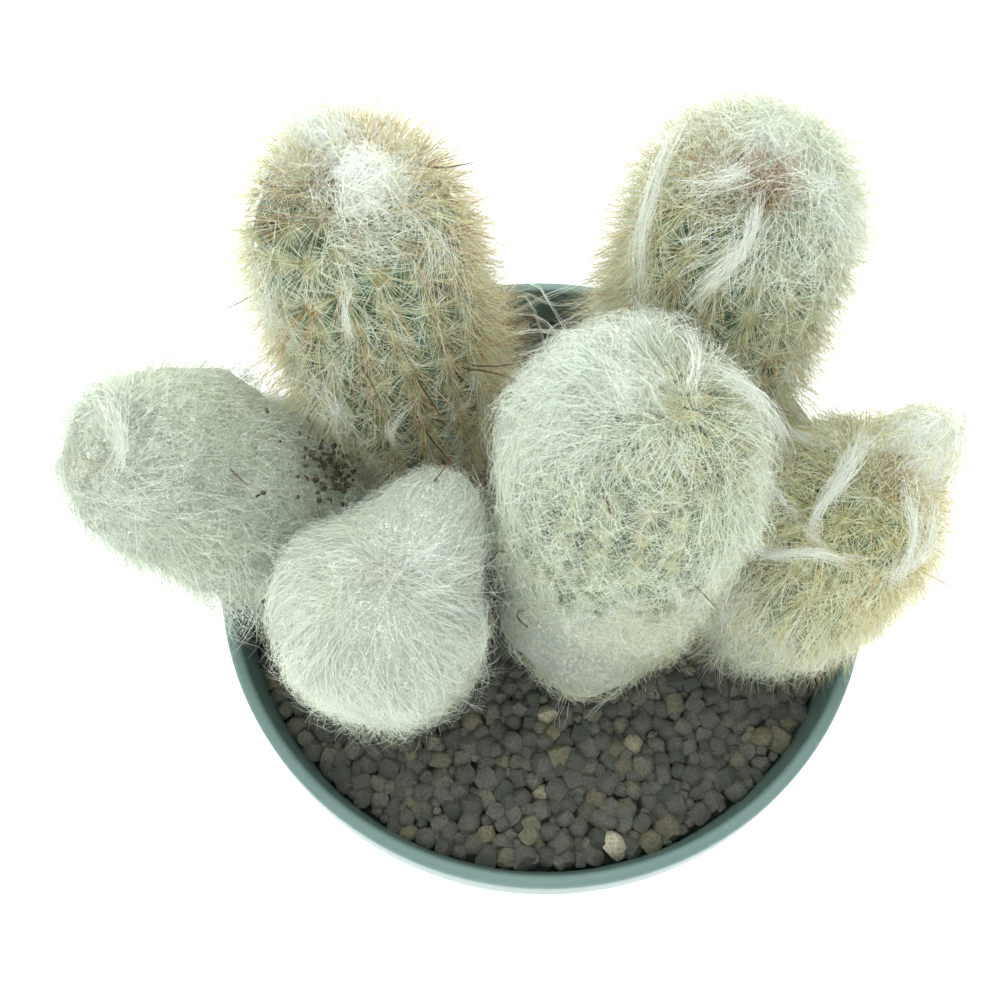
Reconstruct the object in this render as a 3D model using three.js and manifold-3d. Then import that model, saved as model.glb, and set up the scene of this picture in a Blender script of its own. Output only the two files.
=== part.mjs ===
// A potted old man cactus: a clump of six ribbed, woolly columnar stems that stand in a round
// plastic nursery pot filled with mineral granules. Lengths are in millimetres, +Z is up, and the
// origin is the centre of the pot's base, on the surface that it stands on. -Y is the front.
import * as THREE from "three";
import { mergeVertices } from "three/addons/utils/BufferGeometryUtils.js";
import Module from "manifold-3d";

const wasm = await Module();
wasm.setup();

// ---------------------------------------------------------------- driving dimensions
const CLEARANCE = 0.3; // left between a piece and the one that it is seated in or on

const pot = {
  height: 100,
  rimRadius: 65,
  lipWidth: 2.6, // of the rim, seen from above
  lipRound: 0.7,
  bandHeight: 9, // of the thick band below the lip
  baseRadius: 46, // outside, at the floor
  baseChamfer: 1.5,
  wall: 1.4,
  floor: 2.2,
  sides: 60,
};
const drain = { holes: 8, holeRadius: 4, circleRadius: 33, grooveWidth: 5, grooveDepth: 1, hubRadius: 24 };
const fill = { top: 91, granuleDepth: 6 }; // height of the granules' surface, and of their loose top layer

const COAT = 3; // depth of the dense spines and wool over the skin of a stem
const RIB_DEPTH = 1.5;
const BURIED = 13; // how far a stem's root crown goes down into the granules

// Each stem grows from (x, y) on the granules and leans towards the bearing, by lean[0] degrees from
// the vertical at its base and by lean[1] at its tip. It is length long above the granules. radius is
// that of the widest part of its skin, and waist and neck are shares of it, at base and tip.
const stems = [
  {
    name: "back_left", x: -26.6, y: 28.4, bearing: 150, lean: [2, 9],
    length: 95, radius: 18.8, waist: 0.76, neck: 0.92, ribs: 16,
  },
  {
    name: "back_right", x: 29.5, y: 32, bearing: 55, lean: [1, 8],
    length: 90, radius: 18.6, waist: 0.8, neck: 0.95, ribs: 16,
  },
  {
    name: "far_left", x: -42.4, y: 5.6, bearing: 181, lean: [15, 60],
    length: 66.5, radius: 17, waist: 0.62, neck: 0.95, ribs: 15,
  },
  {
    name: "front_left", x: -29, y: -17, bearing: 250, lean: [4, 12],
    length: 54, radius: 17, waist: 0.86, neck: 0.95, ribs: 15,
  },
  {
    name: "front_centre", x: 13, y: -6, bearing: 80, lean: [0.5, 6],
    length: 83, radius: 19.6, waist: 0.84, neck: 0.94, ribs: 16,
  },
  {
    name: "far_right", x: 43, y: -8.5, bearing: 28, lean: [8, 42],
    length: 53.5, radius: 16.8, waist: 0.68, neck: 0.95, ribs: 15,
  },
];

// Dense cottony wool at the growing points: each tuft is a flattened ball seated on a coat, tip
// degrees down from the stem's end, on the side that turn gives about the stem's own axis. It
// measures across, along (down the stem) and depth each way from its centre, which is raised by lift.
const tufts = [
  {
    name: "back_left_rear", stem: "back_left", tip: 20, turn: 125,
    across: 4.2, along: 5, depth: 3.6, lift: 0,
  },
  {
    name: "back_left_front", stem: "back_left", tip: 21, turn: -77,
    across: 6, along: 4.6, depth: 3.6, lift: 0,
  },
  {
    name: "back_right", stem: "back_right", tip: 6, turn: 109,
    across: 7.5, along: 5.5, depth: 3.6, lift: 0,
  },
  {
    name: "front_left", stem: "front_left", tip: 62, turn: -72,
    across: 6.2, along: 8.5, depth: 5, lift: 1,
  },
  {
    name: "front_centre", stem: "front_centre", tip: 16, turn: -3,
    across: 9, along: 7.5, depth: 3.6, lift: 0,
  },
  {
    name: "far_right", stem: "far_right", tip: 20, turn: 68,
    across: 6.5, along: 6.5, depth: 5, lift: 0,
  },
];

// ---------------------------------------------------------------- materials
const plastic = new THREE.MeshStandardMaterial({ color: 0x86a39c, roughness: 0.45, metalness: 0 });
const mineral = new THREE.MeshStandardMaterial({ color: 0x5a534c, roughness: 0.95, metalness: 0 });
const skin = new THREE.MeshStandardMaterial({ color: 0x4c6b4a, roughness: 0.6, metalness: 0 });
const hair = new THREE.MeshStandardMaterial({ color: 0xd8dcc8, roughness: 0.95, metalness: 0 });
const cotton = new THREE.MeshStandardMaterial({ color: 0xf0f3ee, roughness: 1, metalness: 0 });

// ---------------------------------------------------------------- solids
// A closed geometry as a manifold-3d solid, and a solid as a geometry.
function solidOf(geometry, place = new THREE.Matrix4()) {
  const bare = geometry.index ? geometry.toNonIndexed() : geometry.clone();
  const positions = new THREE.BufferGeometry().setAttribute("position", bare.getAttribute("position"));
  const merged = mergeVertices(positions.applyMatrix4(place), 1e-3);
  return new wasm.Manifold(
    new wasm.Mesh({
      numProp: 3,
      vertProperties: merged.attributes.position.array,
      triVerts: new Uint32Array(merged.index.array),
    }),
  );
}

function geometryOf(solid) {
  const mesh = solid.getMesh();
  const corners = new Float32Array(mesh.triVerts.length * 3);
  mesh.triVerts.forEach((vertex, corner) => {
    for (let axis = 0; axis < 3; axis += 1) {
      corners[corner * 3 + axis] = mesh.vertProperties[vertex * mesh.numProp + axis];
    }
  });
  const geometry = new THREE.BufferGeometry();
  geometry.setAttribute("position", new THREE.BufferAttribute(corners, 3));
  geometry.computeVertexNormals();
  return geometry;
}

// LatheGeometry turns its profile about Y, so the result is stood up on Z.
function lathe(profile, sides) {
  const points = profile.map(([radius, height]) => new THREE.Vector2(radius, height));
  return new THREE.LatheGeometry(points, sides).rotateX(Math.PI / 2);
}

function box(width, depth, height, x, y, z) {
  return new THREE.BoxGeometry(width, depth, height).translate(x, y, z);
}

// ---------------------------------------------------------------- the pot and what fills it
// The inside of the pot's tapered wall, from the floor's upper face to the lip.
function insideRadius(z) {
  const atTop = pot.rimRadius - pot.lipWidth;
  const atFloor = pot.baseRadius - pot.wall;
  return THREE.MathUtils.mapLinear(z, pot.floor, pot.height, atFloor, atTop);
}

function potSolid() {
  const bandBottom = pot.height - pot.bandHeight;
  const bandStart = bandBottom - pot.lipWidth; // the band swells out of the wall below it
  const profile = [
    [0, 0],
    [pot.baseRadius - pot.baseChamfer, 0],
    [pot.baseRadius, pot.baseChamfer],
    [insideRadius(bandStart) + pot.wall, bandStart],
    [pot.rimRadius, bandBottom],
    [pot.rimRadius, pot.height - pot.lipRound],
    [pot.rimRadius - pot.lipRound, pot.height],
    [insideRadius(pot.height) + pot.lipRound, pot.height],
    [insideRadius(pot.height - pot.lipRound), pot.height - pot.lipRound],
    [insideRadius(pot.floor), pot.floor],
    [0, pot.floor],
  ];
  let body = solidOf(lathe(profile, pot.sides));
  for (let i = 0; i < drain.holes; i += 1) {
    const turned = new THREE.Matrix4().makeRotationZ((i * 2 * Math.PI) / drain.holes);
    const hole = new THREE.CylinderGeometry(drain.holeRadius, drain.holeRadius, pot.floor * 3, 12);
    hole.rotateX(Math.PI / 2).translate(drain.circleRadius, 0, 0);
    const grooveLength = pot.baseRadius - drain.hubRadius;
    const groove = box(grooveLength * 2, drain.grooveWidth, drain.grooveDepth * 2, pot.baseRadius, 0, 0);
    body = body.subtract(solidOf(hole, turned)).subtract(solidOf(groove, turned));
  }
  return body;
}

// A disc that fills the pot between two heights, clear of its wall.
function fillSolid(bottom, top) {
  const profile = [
    [0, bottom],
    [insideRadius(bottom) - CLEARANCE, bottom],
    [insideRadius(top) - CLEARANCE, top],
    [0, top],
  ];
  return solidOf(lathe(profile, pot.sides));
}

// ---------------------------------------------------------------- stems
const radians = THREE.MathUtils.degToRad;
const smooth = THREE.MathUtils.smoothstep;
const mix = THREE.MathUtils.lerp;

// The stem's centre line at distance s above the granules, with its direction there and the two
// directions across it: side is level, and front points away from the lean.
function axisAt(stem, s) {
  const bearing = radians(stem.bearing);
  const start = radians(stem.lean[0]);
  const bend = radians(stem.lean[1] - stem.lean[0]) / stem.length;
  const along = THREE.MathUtils.clamp(s, 0, stem.length);
  const lean = start + bend * along;
  const beyond = s - along;
  const out = (Math.cos(start) - Math.cos(lean)) / bend + beyond * Math.sin(lean);
  const up = (Math.sin(lean) - Math.sin(start)) / bend + beyond * Math.cos(lean);
  const level = new THREE.Vector3(Math.cos(bearing), Math.sin(bearing), 0);
  const direction = level.clone().multiplyScalar(Math.sin(lean)).setZ(Math.cos(lean));
  const side = new THREE.Vector3(-Math.sin(bearing), Math.cos(bearing), 0);
  return {
    point: level.multiplyScalar(out).add(new THREE.Vector3(stem.x, stem.y, fill.top + up)),
    direction,
    side,
    front: new THREE.Vector3().crossVectors(side, direction),
  };
}

const domeHeight = (stem) => stem.radius * 0.95;

// The radius of the stem's skin at s, or of a skin that lies grow further out. Both ends are round.
function radiusAt(stem, s, grow) {
  const widening = mix(stem.waist, 1, smooth(s, 0, stem.length * 0.45));
  const narrowing = mix(1, stem.neck, smooth(s, stem.length * 0.45, stem.length));
  const dome = domeHeight(stem);
  const intoDome = Math.max(0, s - (stem.length - dome)) / (dome + grow);
  const intoCrown = Math.max(0, -s) / (BURIED + grow);
  const closing = Math.sqrt(Math.max(0, 1 - intoDome ** 2 - intoCrown ** 2));
  return (stem.radius * widening * narrowing + grow) * closing;
}

// Distances at which rings are set, from just above the root crown's end to just below the tip.
function ringPlaces(stem, grow) {
  const dome = domeHeight(stem);
  const crown = [64, 30].map((angle) => -(BURIED + grow) * Math.sin(radians(angle)));
  const body = [0, 0.14, 0.3, 0.5].map((share) => share * stem.length);
  const shoulder = [4, 32, 54, 73].map(
    (angle) => stem.length - dome + (dome + grow) * Math.sin(radians(angle)),
  );
  const below = body.filter((s) => s < stem.length - dome - 2);
  return [...crown, ...below, ...shoulder];
}

// A closed skin round the stem: rings of corners joined into a tube, with a corner at each end.
function stemGeometry(stem, { grow = 0, ribDepth = 0, corners }) {
  const places = ringPlaces(stem, grow);
  const positions = [];
  const triangles = [];
  const push = (point) => positions.push(point.x, point.y, point.z) / 3 - 1;
  places.forEach((s) => {
    const { point, side, front } = axisAt(stem, s);
    const radius = radiusAt(stem, s, grow);
    const depth = s < 0 ? 0 : ribDepth * Math.min(1, radius / stem.radius);
    for (let i = 0; i < corners; i += 1) {
      const angle = (i * 2 * Math.PI) / corners;
      const reach = radius - (i % 2) * depth;
      const corner = point.clone().addScaledVector(side, reach * Math.cos(angle));
      push(corner.addScaledVector(front, reach * Math.sin(angle)));
    }
  });
  const bottom = push(axisAt(stem, -BURIED - grow).point);
  const top = push(axisAt(stem, stem.length + grow).point);
  const last = (places.length - 1) * corners;
  for (let i = 0; i < corners; i += 1) {
    const next = (i + 1) % corners;
    triangles.push(bottom, i, next, top, last + next, last + i);
    for (let ring = 0; ring < last; ring += corners) {
      triangles.push(ring + i, ring + corners + i, ring + next);
      triangles.push(ring + next, ring + corners + i, ring + corners + next);
    }
  }
  const geometry = new THREE.BufferGeometry();
  geometry.setAttribute("position", new THREE.Float32BufferAttribute(positions, 3));
  geometry.setIndex(triangles);
  return geometry;
}

// A plain skin, whose flats lie grow outside the ribs' crests.
function skinOf(stem, grow) {
  const corners = 16;
  const widened = { ...stem, radius: stem.radius / Math.cos(Math.PI / corners) };
  return solidOf(stemGeometry(widened, { grow, corners }));
}

// The coat of spines and wool: an open-bottomed shell round the skin, down to the granules. It is
// pressed flat where it meets the skin of another stem, or the coat of one that comes before it.
function coatSolid(stem, index) {
  let coat = skinOf(stem, COAT).subtract(skinOf(stem, CLEARANCE * 1.3));
  stems.forEach((other, otherIndex) => {
    if (other === stem) return;
    const kept = otherIndex < index ? COAT + CLEARANCE : CLEARANCE;
    coat = coat.subtract(skinOf(other, kept));
  });
  const below = box(400, 400, 200, 0, 0, fill.top + CLEARANCE - 100);
  const overRim = lathe(
    [
      [0, fill.top],
      [pot.rimRadius + CLEARANCE, fill.top],
      [pot.rimRadius + CLEARANCE, pot.height + CLEARANCE],
      [insideRadius(pot.height) - CLEARANCE, pot.height + CLEARANCE],
      [insideRadius(fill.top) - CLEARANCE, fill.top + CLEARANCE],
      [0, fill.top + CLEARANCE],
    ],
    pot.sides,
  );
  return coat.subtract(solidOf(below)).subtract(solidOf(overRim));
}

function tuftSolid(tuft) {
  const stem = stems.find((one) => one.name === tuft.stem);
  const { point, direction, side, front } = axisAt(stem, stem.length - domeHeight(stem));
  const turn = radians(tuft.turn);
  const tip = radians(tuft.tip);
  const sideways = side.multiplyScalar(Math.cos(turn)).addScaledVector(front, Math.sin(turn));
  const outward = direction.clone().multiplyScalar(Math.cos(tip)).addScaledVector(sideways, Math.sin(tip));
  const down = sideways.multiplyScalar(Math.cos(tip)).addScaledVector(direction, -Math.sin(tip));
  const across = new THREE.Vector3().crossVectors(down, outward);
  const seat = point.addScaledVector(outward, stem.radius * stem.neck + COAT + tuft.lift);
  const place = new THREE.Matrix4().makeBasis(across, down, outward).setPosition(seat);
  const ball = new THREE.SphereGeometry(1, 12, 8).scale(tuft.across, tuft.along, tuft.depth);
  return stems.reduce((rest, other) => rest.subtract(skinOf(other, COAT + CLEARANCE)), solidOf(ball, place));
}

// ---------------------------------------------------------------- assembly
const cactus = new THREE.Group();

function addPiece(name, solid, material) {
  const mesh = new THREE.Mesh(geometryOf(solid), material);
  mesh.name = name;
  cactus.add(mesh);
}

function withSockets(solid) {
  return stems.reduce((rest, stem) => rest.subtract(skinOf(stem, CLEARANCE)), solid);
}

const layerBottom = fill.top - fill.granuleDepth;

addPiece("pot", potSolid(), plastic);
addPiece("substrate", withSockets(fillSolid(pot.floor + CLEARANCE, layerBottom - CLEARANCE)), mineral);
addPiece("surface_granules", withSockets(fillSolid(layerBottom, fill.top)), mineral);
stems.forEach((stem, index) => {
  const ribbed = stemGeometry(stem, { ribDepth: RIB_DEPTH, corners: stem.ribs * 2 });
  addPiece(`stem_${stem.name}`, solidOf(ribbed), skin);
  addPiece(`coat_${stem.name}`, coatSolid(stem, index), hair);
});
tufts.forEach((tuft) => addPiece(`tuft_${tuft.name}`, tuftSolid(tuft), cotton));

export default cactus;
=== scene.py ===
import math

import bpy
import numpy as np
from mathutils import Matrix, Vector
from mathutils.bvhtree import BVHTree


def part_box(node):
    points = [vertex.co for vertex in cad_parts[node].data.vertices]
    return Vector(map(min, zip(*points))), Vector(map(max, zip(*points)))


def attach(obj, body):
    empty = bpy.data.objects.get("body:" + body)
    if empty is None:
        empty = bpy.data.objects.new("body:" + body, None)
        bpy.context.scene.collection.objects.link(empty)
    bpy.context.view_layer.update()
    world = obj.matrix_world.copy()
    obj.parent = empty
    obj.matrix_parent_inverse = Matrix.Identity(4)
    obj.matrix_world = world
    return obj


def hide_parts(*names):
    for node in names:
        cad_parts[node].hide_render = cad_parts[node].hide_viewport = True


# A clump of six woolly cactus stems in a round nursery pot full of mineral granules.
# Everything is in metres, +Z up, with the pot's base on the floor at the origin.
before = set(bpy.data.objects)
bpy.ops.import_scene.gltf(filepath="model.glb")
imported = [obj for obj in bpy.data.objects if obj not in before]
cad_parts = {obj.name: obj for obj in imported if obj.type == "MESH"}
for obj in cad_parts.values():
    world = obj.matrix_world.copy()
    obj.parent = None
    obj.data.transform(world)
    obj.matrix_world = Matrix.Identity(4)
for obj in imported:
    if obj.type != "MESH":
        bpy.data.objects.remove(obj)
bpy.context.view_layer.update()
mm = 0.001

potLow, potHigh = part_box("pot")
rimRadius = (potHigh.x - potLow.x) / 2
rimTop = potHigh.z
soilLow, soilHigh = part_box("surface_granules")
soilTop = soilHigh.z
soilRadius = (soilHigh.x - soilLow.x) / 2
print("frame loaded: rim radius %.1f mm, soil at %.1f mm" % (rimRadius / mm, soilTop / mm))


def paint(code):  # "#rrggbb" as the linear colour that a shader takes
    parts = [int(code[i:i + 2], 16) / 255 for i in (1, 3, 5)]
    return tuple(p / 12.92 if p <= 0.04045 else ((p + 0.055) / 1.055) ** 2.4 for p in parts) + (1.0,)


def deselectAll():
    if bpy.context.object and bpy.context.object.mode != "OBJECT":
        bpy.ops.object.mode_set(mode="OBJECT")
    bpy.ops.object.select_all(action="DESELECT")


def editAll():  # opens the new piece in edit mode with everything selected
    bpy.ops.object.mode_set(mode="EDIT")
    bpy.ops.mesh.select_all(action="SELECT")


def closeOutwards():  # turns every face of the open piece outwards and leaves edit mode
    bpy.ops.mesh.select_all(action="SELECT")
    bpy.ops.mesh.normals_make_consistent(inside=False)
    bpy.ops.object.mode_set(mode="OBJECT")


def smoothStep(low, high, x):
    t = np.clip((x - low) / (high - low), 0, 1)
    return t * t * (3 - 2 * t)


def unit(v):
    return v / np.maximum(np.linalg.norm(v, axis=-1, keepdims=True), 1e-12)


def eased(values, passes):  # evens out a row of values between its two ends
    for _ in range(passes):
        values[1:-1] = (values[:-2] + 2 * values[1:-1] + values[2:]) / 4
    return values


def coordsOf(mesh):
    flat = np.zeros(len(mesh.vertices) * 3)
    mesh.vertices.foreach_get("co", flat)
    return flat.reshape(-1, 3)


def moveTo(mesh, points):
    mesh.vertices.foreach_set("co", points.astype(np.float32).ravel())
    mesh.update()


def addMesh(name, mesh):
    piece = bpy.data.objects.new(name, mesh)
    bpy.context.scene.collection.objects.link(piece)
    return piece


def addBall(name, segments, rings):  # a smooth ball of radius 1, and where its points are
    deselectAll()
    bpy.ops.mesh.primitive_uv_sphere_add(segments=segments, ring_count=rings, radius=1)
    piece = bpy.context.object
    piece.name = name
    bpy.ops.object.shade_smooth()
    return piece, coordsOf(piece.data)


def note(mesh, name, values, domain="POINT"):  # a number for each point or corner, for the shaders
    painted = mesh.attributes.new(name, "FLOAT", domain)
    painted.data.foreach_set("value", np.asarray(values, dtype=np.float32))


def place(piece, slot, material, *nodes):  # every finished piece ends here
    piece.data.materials.clear()
    piece.data.materials.append(material)
    if nodes:
        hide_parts(*nodes)
    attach(piece, "root")
    return piece


class Wire:  # a socket that takes part in sums; make() adds any other node
    def __init__(self, tree, socket=None):
        self.tree = tree
        self.socket = socket

    def make(self, kind, settings=None, sockets=None, out=0):
        node = self.tree.nodes.new("ShaderNode" + kind)
        for key, value in (settings or {}).items():
            if key == "stops":
                ramp = node.color_ramp.elements
                while len(ramp) < len(value):
                    ramp.new(1.0)
                for stop, (at, colour) in zip(ramp, value):
                    stop.position = at
                    stop.color = colour
            else:
                setattr(node, key, value)
        for key, value in (sockets or {}).items():
            if isinstance(value, Wire):
                self.tree.links.new(value.socket, node.inputs[key])
            else:
                node.inputs[key].default_value = value
        return Wire(self.tree, node.outputs[out])

    def maths(self, operation, first, second=0.0):
        return self.make("Math", {"operation": operation}, {0: first, 1: second})

    def __add__(self, other):
        return self.maths("ADD", self, other)

    def __radd__(self, other):
        return self.maths("ADD", other, self)

    def __sub__(self, other):
        return self.maths("SUBTRACT", self, other)

    def __rsub__(self, other):
        return self.maths("SUBTRACT", other, self)

    def __mul__(self, other):
        return self.maths("MULTIPLY", self, other)

    def __rmul__(self, other):
        return self.maths("MULTIPLY", other, self)

    def between(self, low, high):  # eases from 0 at low to 1 at high
        sockets = {0: self, 1: low, 2: high}
        return self.make("MapRange", {"interpolation_type": "SMOOTHSTEP"}, sockets)

    def mix(self, first, second):  # self is the share of second
        return self.make("Mix", {"data_type": "RGBA"}, {0: self, 6: first, 7: second}, out=2)

    def noise(self, scale, detail, **more):  # self is the place that it is read at
        return self.make("TexNoise", {}, {"Vector": self, "Scale": scale, "Detail": detail, **more})

    def into(self, shader, *names):
        for name in names:
            self.tree.links.new(self.socket, shader.inputs[name])

    def dent(self, shader, strength, depth):  # self is the height of a bump, depth in millimetres
        sockets = {"Strength": strength, "Distance": depth * mm, "Height": self}
        self.make("Bump", {}, sockets).into(shader, "Normal")


def newMaterial(name, roughness, specular, sheen=0.0):
    material = bpy.data.materials.new(name)
    material.use_nodes = True
    shader = material.node_tree.nodes["Principled BSDF"]
    shader.inputs["Roughness"].default_value = roughness
    shader.inputs["Specular IOR Level"].default_value = specular
    shader.inputs["Sheen Weight"].default_value = sheen
    return material, shader, Wire(material.node_tree)


def glowing(material, shader, colour, strength):  # the colour, and a painted glow of the same colour that stands in for light coming through the fibres
    colour.into(shader, "Base Color", "Emission Color")
    shader.inputs["Emission Strength"].default_value = strength
    material.cycles.emission_sampling = "NONE"
    return material


def objectSpace(tree):
    return tree.make("TexCoord", out=3)


def noted(tree, name):  # what note() wrote on the mesh
    return tree.make("Attribute", {"attribute_name": name}, out=2)


def strandMaterial(name, look):
    # the strands' map holds each strand's own tone across, and root to tip upwards
    material, shader, tree = newMaterial(name, look["roughness"], look["specular"])
    uv = tree.make("UVMap", {"uv_map": "OFBake"})
    across = tree.make("SeparateXYZ", {}, {0: uv}, out=0)
    upwards = tree.make("SeparateXYZ", {}, {0: uv}, out=1)
    ends = []
    for end in ("root", "tip"):
        stops = [(i / (len(look[end]) - 1), paint(code)) for i, code in enumerate(look[end])]
        ends.append(tree.make("ValToRGB", {"stops": stops}, {0: across}))
    return glowing(material, shader, upwards.between(*look["fade"]).mix(*ends), look["glow"])


# A strand is a closed tube of three sides that tapers to a point. taper is how much of its
# thickness it loses on the way, and toneWidth how wide it is on its map.
strandShape = {"sides": 3, "taper": 0.75, "taperPower": 1.6, "toneWidth": 0.004}


def strandPattern(k):  # the faces of one strand of k points, and their corners on its map
    sides, width = strandShape["sides"], strandShape["toneWidth"]
    faces, corners = [], []
    for ring in range(k - 2):
        low, high = ring / (k - 1), (ring + 1) / (k - 1)
        for j in range(sides):
            a, b = ring * sides + j, ring * sides + (j + 1) % sides
            left, right = width * j, width * (j + 1)
            faces.append([a, b, b + sides, a + sides])
            corners += [(left, low), (right, low), (right, high), (left, high)]
    last, low = (k - 2) * sides, (k - 2) / (k - 1)
    for j in range(sides):
        faces.append([last + j, last + (j + 1) % sides, last + sides])
        corners += [(width * j, low), (width * (j + 1), low), (width * (j + 0.5), 1.0)]
    faces.append([2, 1, 0])
    corners += [(width * 2, 0.0), (width, 0.0), (0.0, 3 * width)]
    return faces, np.array(corners)


def strandPoints(points, thickness, rng):  # the rings of points round each strand's line, and its tip
    n, k, _ = points.shape
    sides = strandShape["sides"]
    tangent = unit(np.gradient(points, axis=1))
    span = unit(points[:, -1] - points[:, 0])
    reference = unit(np.cross(span, unit(rng.normal(size=(n, 3)))))
    sideA = unit(np.cross(tangent, reference[:, None, :]))
    sideB = np.cross(tangent, sideA)
    taper = 1 - strandShape["taper"] * (np.arange(k - 1) / (k - 1)) ** strandShape["taperPower"]
    radius = 0.5 * thickness[:, None] * taper[None, :]
    rings = []
    for j in range(sides):
        turn = 2 * math.pi * j / sides
        across = sideA[:, :-1] * math.cos(turn) + sideB[:, :-1] * math.sin(turn)
        rings.append(points[:, :-1] + across * radius[..., None])
    tube = np.stack(rings, axis=2).reshape(n, (k - 1) * sides, 3)
    return np.concatenate([tube, points[:, -1:]], axis=1)


def strandObject(name, batches, seed):  # batches: (points (n, k, 3), thickness (n,), tone (n,))
    rng = np.random.default_rng(seed)
    vertices, corners, starts, uvs = [], [], [], []
    vertexCount = 0
    cornerCount = 0
    for points, thickness, tone in batches:
        n, k, _ = points.shape
        if n == 0:
            continue
        tubes = strandPoints(points, thickness, rng)
        faces, flatUv = strandPattern(k)
        vertices.append(tubes.reshape(-1, 3))
        flat = np.concatenate(faces)
        first = np.concatenate([[0], np.cumsum([len(face) for face in faces])[:-1]])
        strand = np.arange(n)[:, None]
        corners.append((vertexCount + strand * tubes.shape[1] + flat[None, :]).ravel())
        starts.append((cornerCount + strand * len(flat) + first[None, :]).ravel())
        uv = np.repeat(flatUv[None, :, :], n, axis=0)
        uv[:, :, 0] += np.clip(tone, 0.01, 0.98)[:, None]
        uvs.append(uv.reshape(-1, 2))
        vertexCount += n * tubes.shape[1]
        cornerCount += n * len(flat)
    mesh = bpy.data.meshes.new(name)
    mesh.vertices.add(vertexCount)
    mesh.vertices.foreach_set("co", np.concatenate(vertices).astype(np.float32).ravel())
    mesh.loops.add(cornerCount)
    mesh.loops.foreach_set("vertex_index", np.concatenate(corners).astype(np.int32))
    allStarts = np.concatenate(starts).astype(np.int32)
    mesh.polygons.add(len(allStarts))
    mesh.polygons.foreach_set("loop_start", allStarts)
    mesh.update(calc_edges=True)
    mesh.polygons.foreach_set("use_smooth", np.ones(len(allStarts), dtype=bool))
    layer = mesh.uv_layers.new(name="OFBake")
    layer.data.foreach_set("uv", np.concatenate(uvs).astype(np.float32).ravel())
    print("  %s: %d strands" % (name, sum(len(batch[0]) for batch in batches)))
    return addMesh(name, mesh)


# How a stem's solid is measured, in millimetres: how many rays run across it, how far under the
# granules it starts, how far ahead it first looks, and its steps. crests is the share of the rays
# that end inside the crests, and it runs straight on from straightFrom before the tip to the end.
probe = {"rays": 96, "below": 6, "ahead": 6, "step": 2, "crests": 0.95, "straightFrom": 12, "end": 0.4}


def measureStem(node):
    # walks up the inside of the solid: at each step rays across it find its middle and its crests
    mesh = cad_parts[node].data
    points = coordsOf(mesh)
    faces = [tuple(face.vertices) for face in mesh.polygons]
    tree = BVHTree.FromPolygons([Vector(p) for p in points], faces)
    turns = np.linspace(0, 2 * math.pi, probe["rays"], endpoint=False)
    foot = soilTop - probe["below"] * mm

    def reach(start, heading):
        return tree.ray_cast(Vector(start), Vector(heading), 0.2)[3] or 0.0

    def across(centre, tangent):
        front, right = crossFrame(tangent)
        rays = front * np.cos(turns)[:, None] + right * np.sin(turns)[:, None]
        lengths = np.array([reach(centre, ray) for ray in rays])
        middle = centre + (rays * lengths[:, None]).mean(axis=0)
        return middle, np.quantile(lengths, probe["crests"])

    low = points[points[:, 2] < foot]
    centre = np.array([*(low[:, :2].min(axis=0) + low[:, :2].max(axis=0)) / 2, foot])
    tangent = np.array([0.0, 0.0, 1.0])
    for _ in range(6):
        centre, _ = across(centre, tangent)
        ahead, _ = across(centre + tangent * probe["ahead"] * mm, tangent)
        tangent = unit(ahead - centre)
    line, radii = [], []
    left = reach(centre, tangent)
    while left > probe["end"] * mm:
        for _ in range(3):
            centre, radius = across(centre, tangent)
        line.append(centre)
        radii.append(radius)
        if len(line) > 3 and left > probe["straightFrom"] * mm:
            tangent = unit(0.5 * tangent + 0.5 * unit(line[-1] - line[-4]))
        left = reach(centre, tangent)
        centre = centre + tangent * min(probe["step"] * mm, 0.25 * left)
        left *= 0.75
    line.append(centre + tangent * reach(centre, tangent))
    radii.append(0.0)
    return np.array(line), np.array(radii)


def crossFrame(tangent):  # the two directions across a stem: towards the front, and to the right
    forward = np.array([0.0, -1.0, 0.0])
    front = unit(forward - np.asarray(tangent @ forward)[..., None] * tangent)
    return front, np.cross(tangent, front)


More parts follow.
